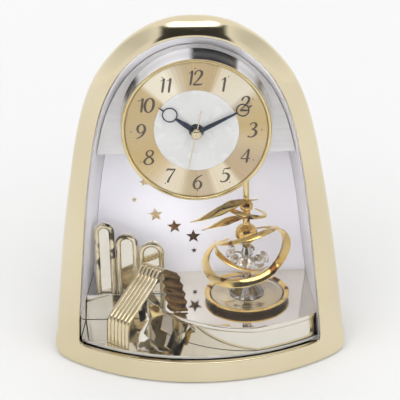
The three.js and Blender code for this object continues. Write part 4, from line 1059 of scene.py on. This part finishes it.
def ribbon(points):
    """A lens-shaped metal band round the spindle; points are (x, y, z, half width, roll) about the axis."""
    f = spline([p[:3] for p in points])
    last = len(points) - 1
    steps = last * 14

    def between(t, c):
        g = t * last
        i = min(int(g), last - 1)
        return points[i][c] + (points[i + 1][c] - points[i][c]) * (g - i)

    rows = []
    for k in range(steps + 1):
        t = k / steps
        p = f(t)
        tangent = (f(t + 1e-4) - f(t - 1e-4)).normalized()
        side = tangent.cross(Vector((0, 0, 1))).normalized()
        normal = side.cross(tangent).normalized()
        roll = math.radians(between(t, 4))
        s = side * math.cos(roll) + normal * math.sin(roll)
        n = s.cross(tangent).normalized()
        w = between(t, 3)
        h = 0.5 * min(1, 0.35 + w / 2.2)
        middle = Vector((*AXIS, 0)) + p
        rows.append([tuple(middle + s * (w * u) + n * (h * v * (1 - 0.25 * u * u)))
                     for u, v in circle(1, n=20)])
    return grid(rows, caps=True)


def ornament_ribbons():
    for name, points in RIBBONS.items():
        build(name + "_gold", ribbon(points), "ribbon_gold", "ornament", (name,), 60)


# ---- camera, floor and light ----
def camera():
    a, e, roll = math.radians(0.48452), math.radians(24.16576), math.radians(-1.16507)
    back = Vector((math.sin(a) * math.cos(e), -math.cos(a) * math.cos(e), math.sin(e)))
    right = Vector((math.cos(a), math.sin(a), 0))
    up = back.cross(right)
    r = right * math.cos(roll) + up * math.sin(roll)
    u = up * math.cos(roll) - right * math.sin(roll)
    data = bpy.data.cameras.new("camera")
    data.lens, data.sensor_width = 129.62, 36.0
    data.clip_start, data.clip_end = 0.05, 30
    cam = bpy.data.objects.new("camera", data)
    target, distance = Vector((1.89, 0, 110.49)) * MM, 0.952
    turn = Matrix((r, u, back)).transposed().to_4x4()
    cam.matrix_world = Matrix.Translation(target + back * distance) @ turn
    bpy.context.scene.collection.objects.link(cam)
    bpy.context.scene.camera = cam


def studio_world():
    """White paper all round; metal also sees a dark room in front and a softbox overhead."""
    world = bpy.data.worlds.new("studio")
    bpy.context.scene.world = world
    world.use_nodes = True
    nt = world.node_tree

    def above(value, a, b):
        return spread(nt, value, 0.0, 1.0, a, b)

    def below(value, a, b):
        return spread(nt, value, 1.0, 0.0, a, b)

    def product(*values):
        return reduce(lambda a, b: maths(nt, "MULTIPLY", a, b), values)

    def total(*values):
        return reduce(lambda a, b: maths(nt, "ADD", a, b), values)

    def choose(which, a, b):
        return add(nt, "Mix", {0: which, 2: a, 3: b}).outputs[0]

    split = add(nt, "SeparateXYZ", {0: add(nt, "TexCoord").outputs["Generated"]}).outputs
    up = split["Z"]
    across = maths(nt, "ABSOLUTE", split["X"])
    ahead = maths(nt, "MULTIPLY", split["Y"], -1.0, clamp=True)
    soft = total(product(maths(nt, "POWER", ahead, 1.2), 3.4), 0.9)

    front = product(below(across, 0.56, 0.64), above(ahead, 0.06, 0.12))
    room = product(above(up, 0.16, 0.22), below(up, 0.80, 0.82), front)
    box = product(above(up, 0.80, 0.82), below(up, 0.945, 0.97), front, below(across, 0.40, 0.50))
    side = product(above(across, 0.62, 0.82), above(up, 0.0, 0.4))
    seen = total(product(room, -0.96), product(box, 2.2), 1.0, product(side, -0.3))

    # a first reflection sees the room and the box, and later ones see even white
    path = add(nt, "LightPath").outputs
    mirrored = choose(maths(nt, "GREATER_THAN", path["Ray Depth"], 2.5), seen, WHITE)
    lit = choose(path["Is Diffuse Ray"], mirrored, soft)
    strength = choose(path["Is Camera Ray"], lit, WHITE)
    feed(nt, nt.nodes["Background"], {"Color": (1, 1, 1, 1), "Strength": strength})


def studio():
    edge = circle(4.0)
    n = len(edge)
    mesh = bpy.data.meshes.new("floor")
    verts = [(0, 0, 0)] + [(x, y, 0) for x, y in edge]
    mesh.from_pydata(verts, [], [(0, 1 + i, 1 + (i + 1) % n) for i in range(n)])
    mesh.materials.append(MATS["paper"])
    floor = bpy.data.objects.new("floor", mesh)
    bpy.context.scene.collection.objects.link(floor)
    data = bpy.data.lights.new("key", "AREA")
    data.shape, data.size, data.size_y, data.energy = "RECTANGLE", 1.6, 1.0, 5
    key = bpy.data.objects.new("key", data)
    key.location = (-0.5, -2.2, 1.5)
    key.rotation_euler = (Vector((0, 0, 0.12)) - key.location).to_track_quat("-Z", "Y").to_euler()
    key.visible_glossy = False
    bpy.context.scene.collection.objects.link(key)
    studio_world()
    bpy.context.scene.view_settings.view_transform = "Standard"


front_frame()
front_window()
walls()
rear()
movement()
dial()
hands()
stage()
hoop("arch_1", -70.9, -56.9, 88.6)
hoop("arch_2", -56.4, -41.2, 80.2)
hoop("arch_3", -40.8, -23.4, 74.0)
stars()
strap()
folds()
ornament_base()
ornament_hubs()
ornament_ribbons()
camera()
studio()

bpy.context.view_layer.update()
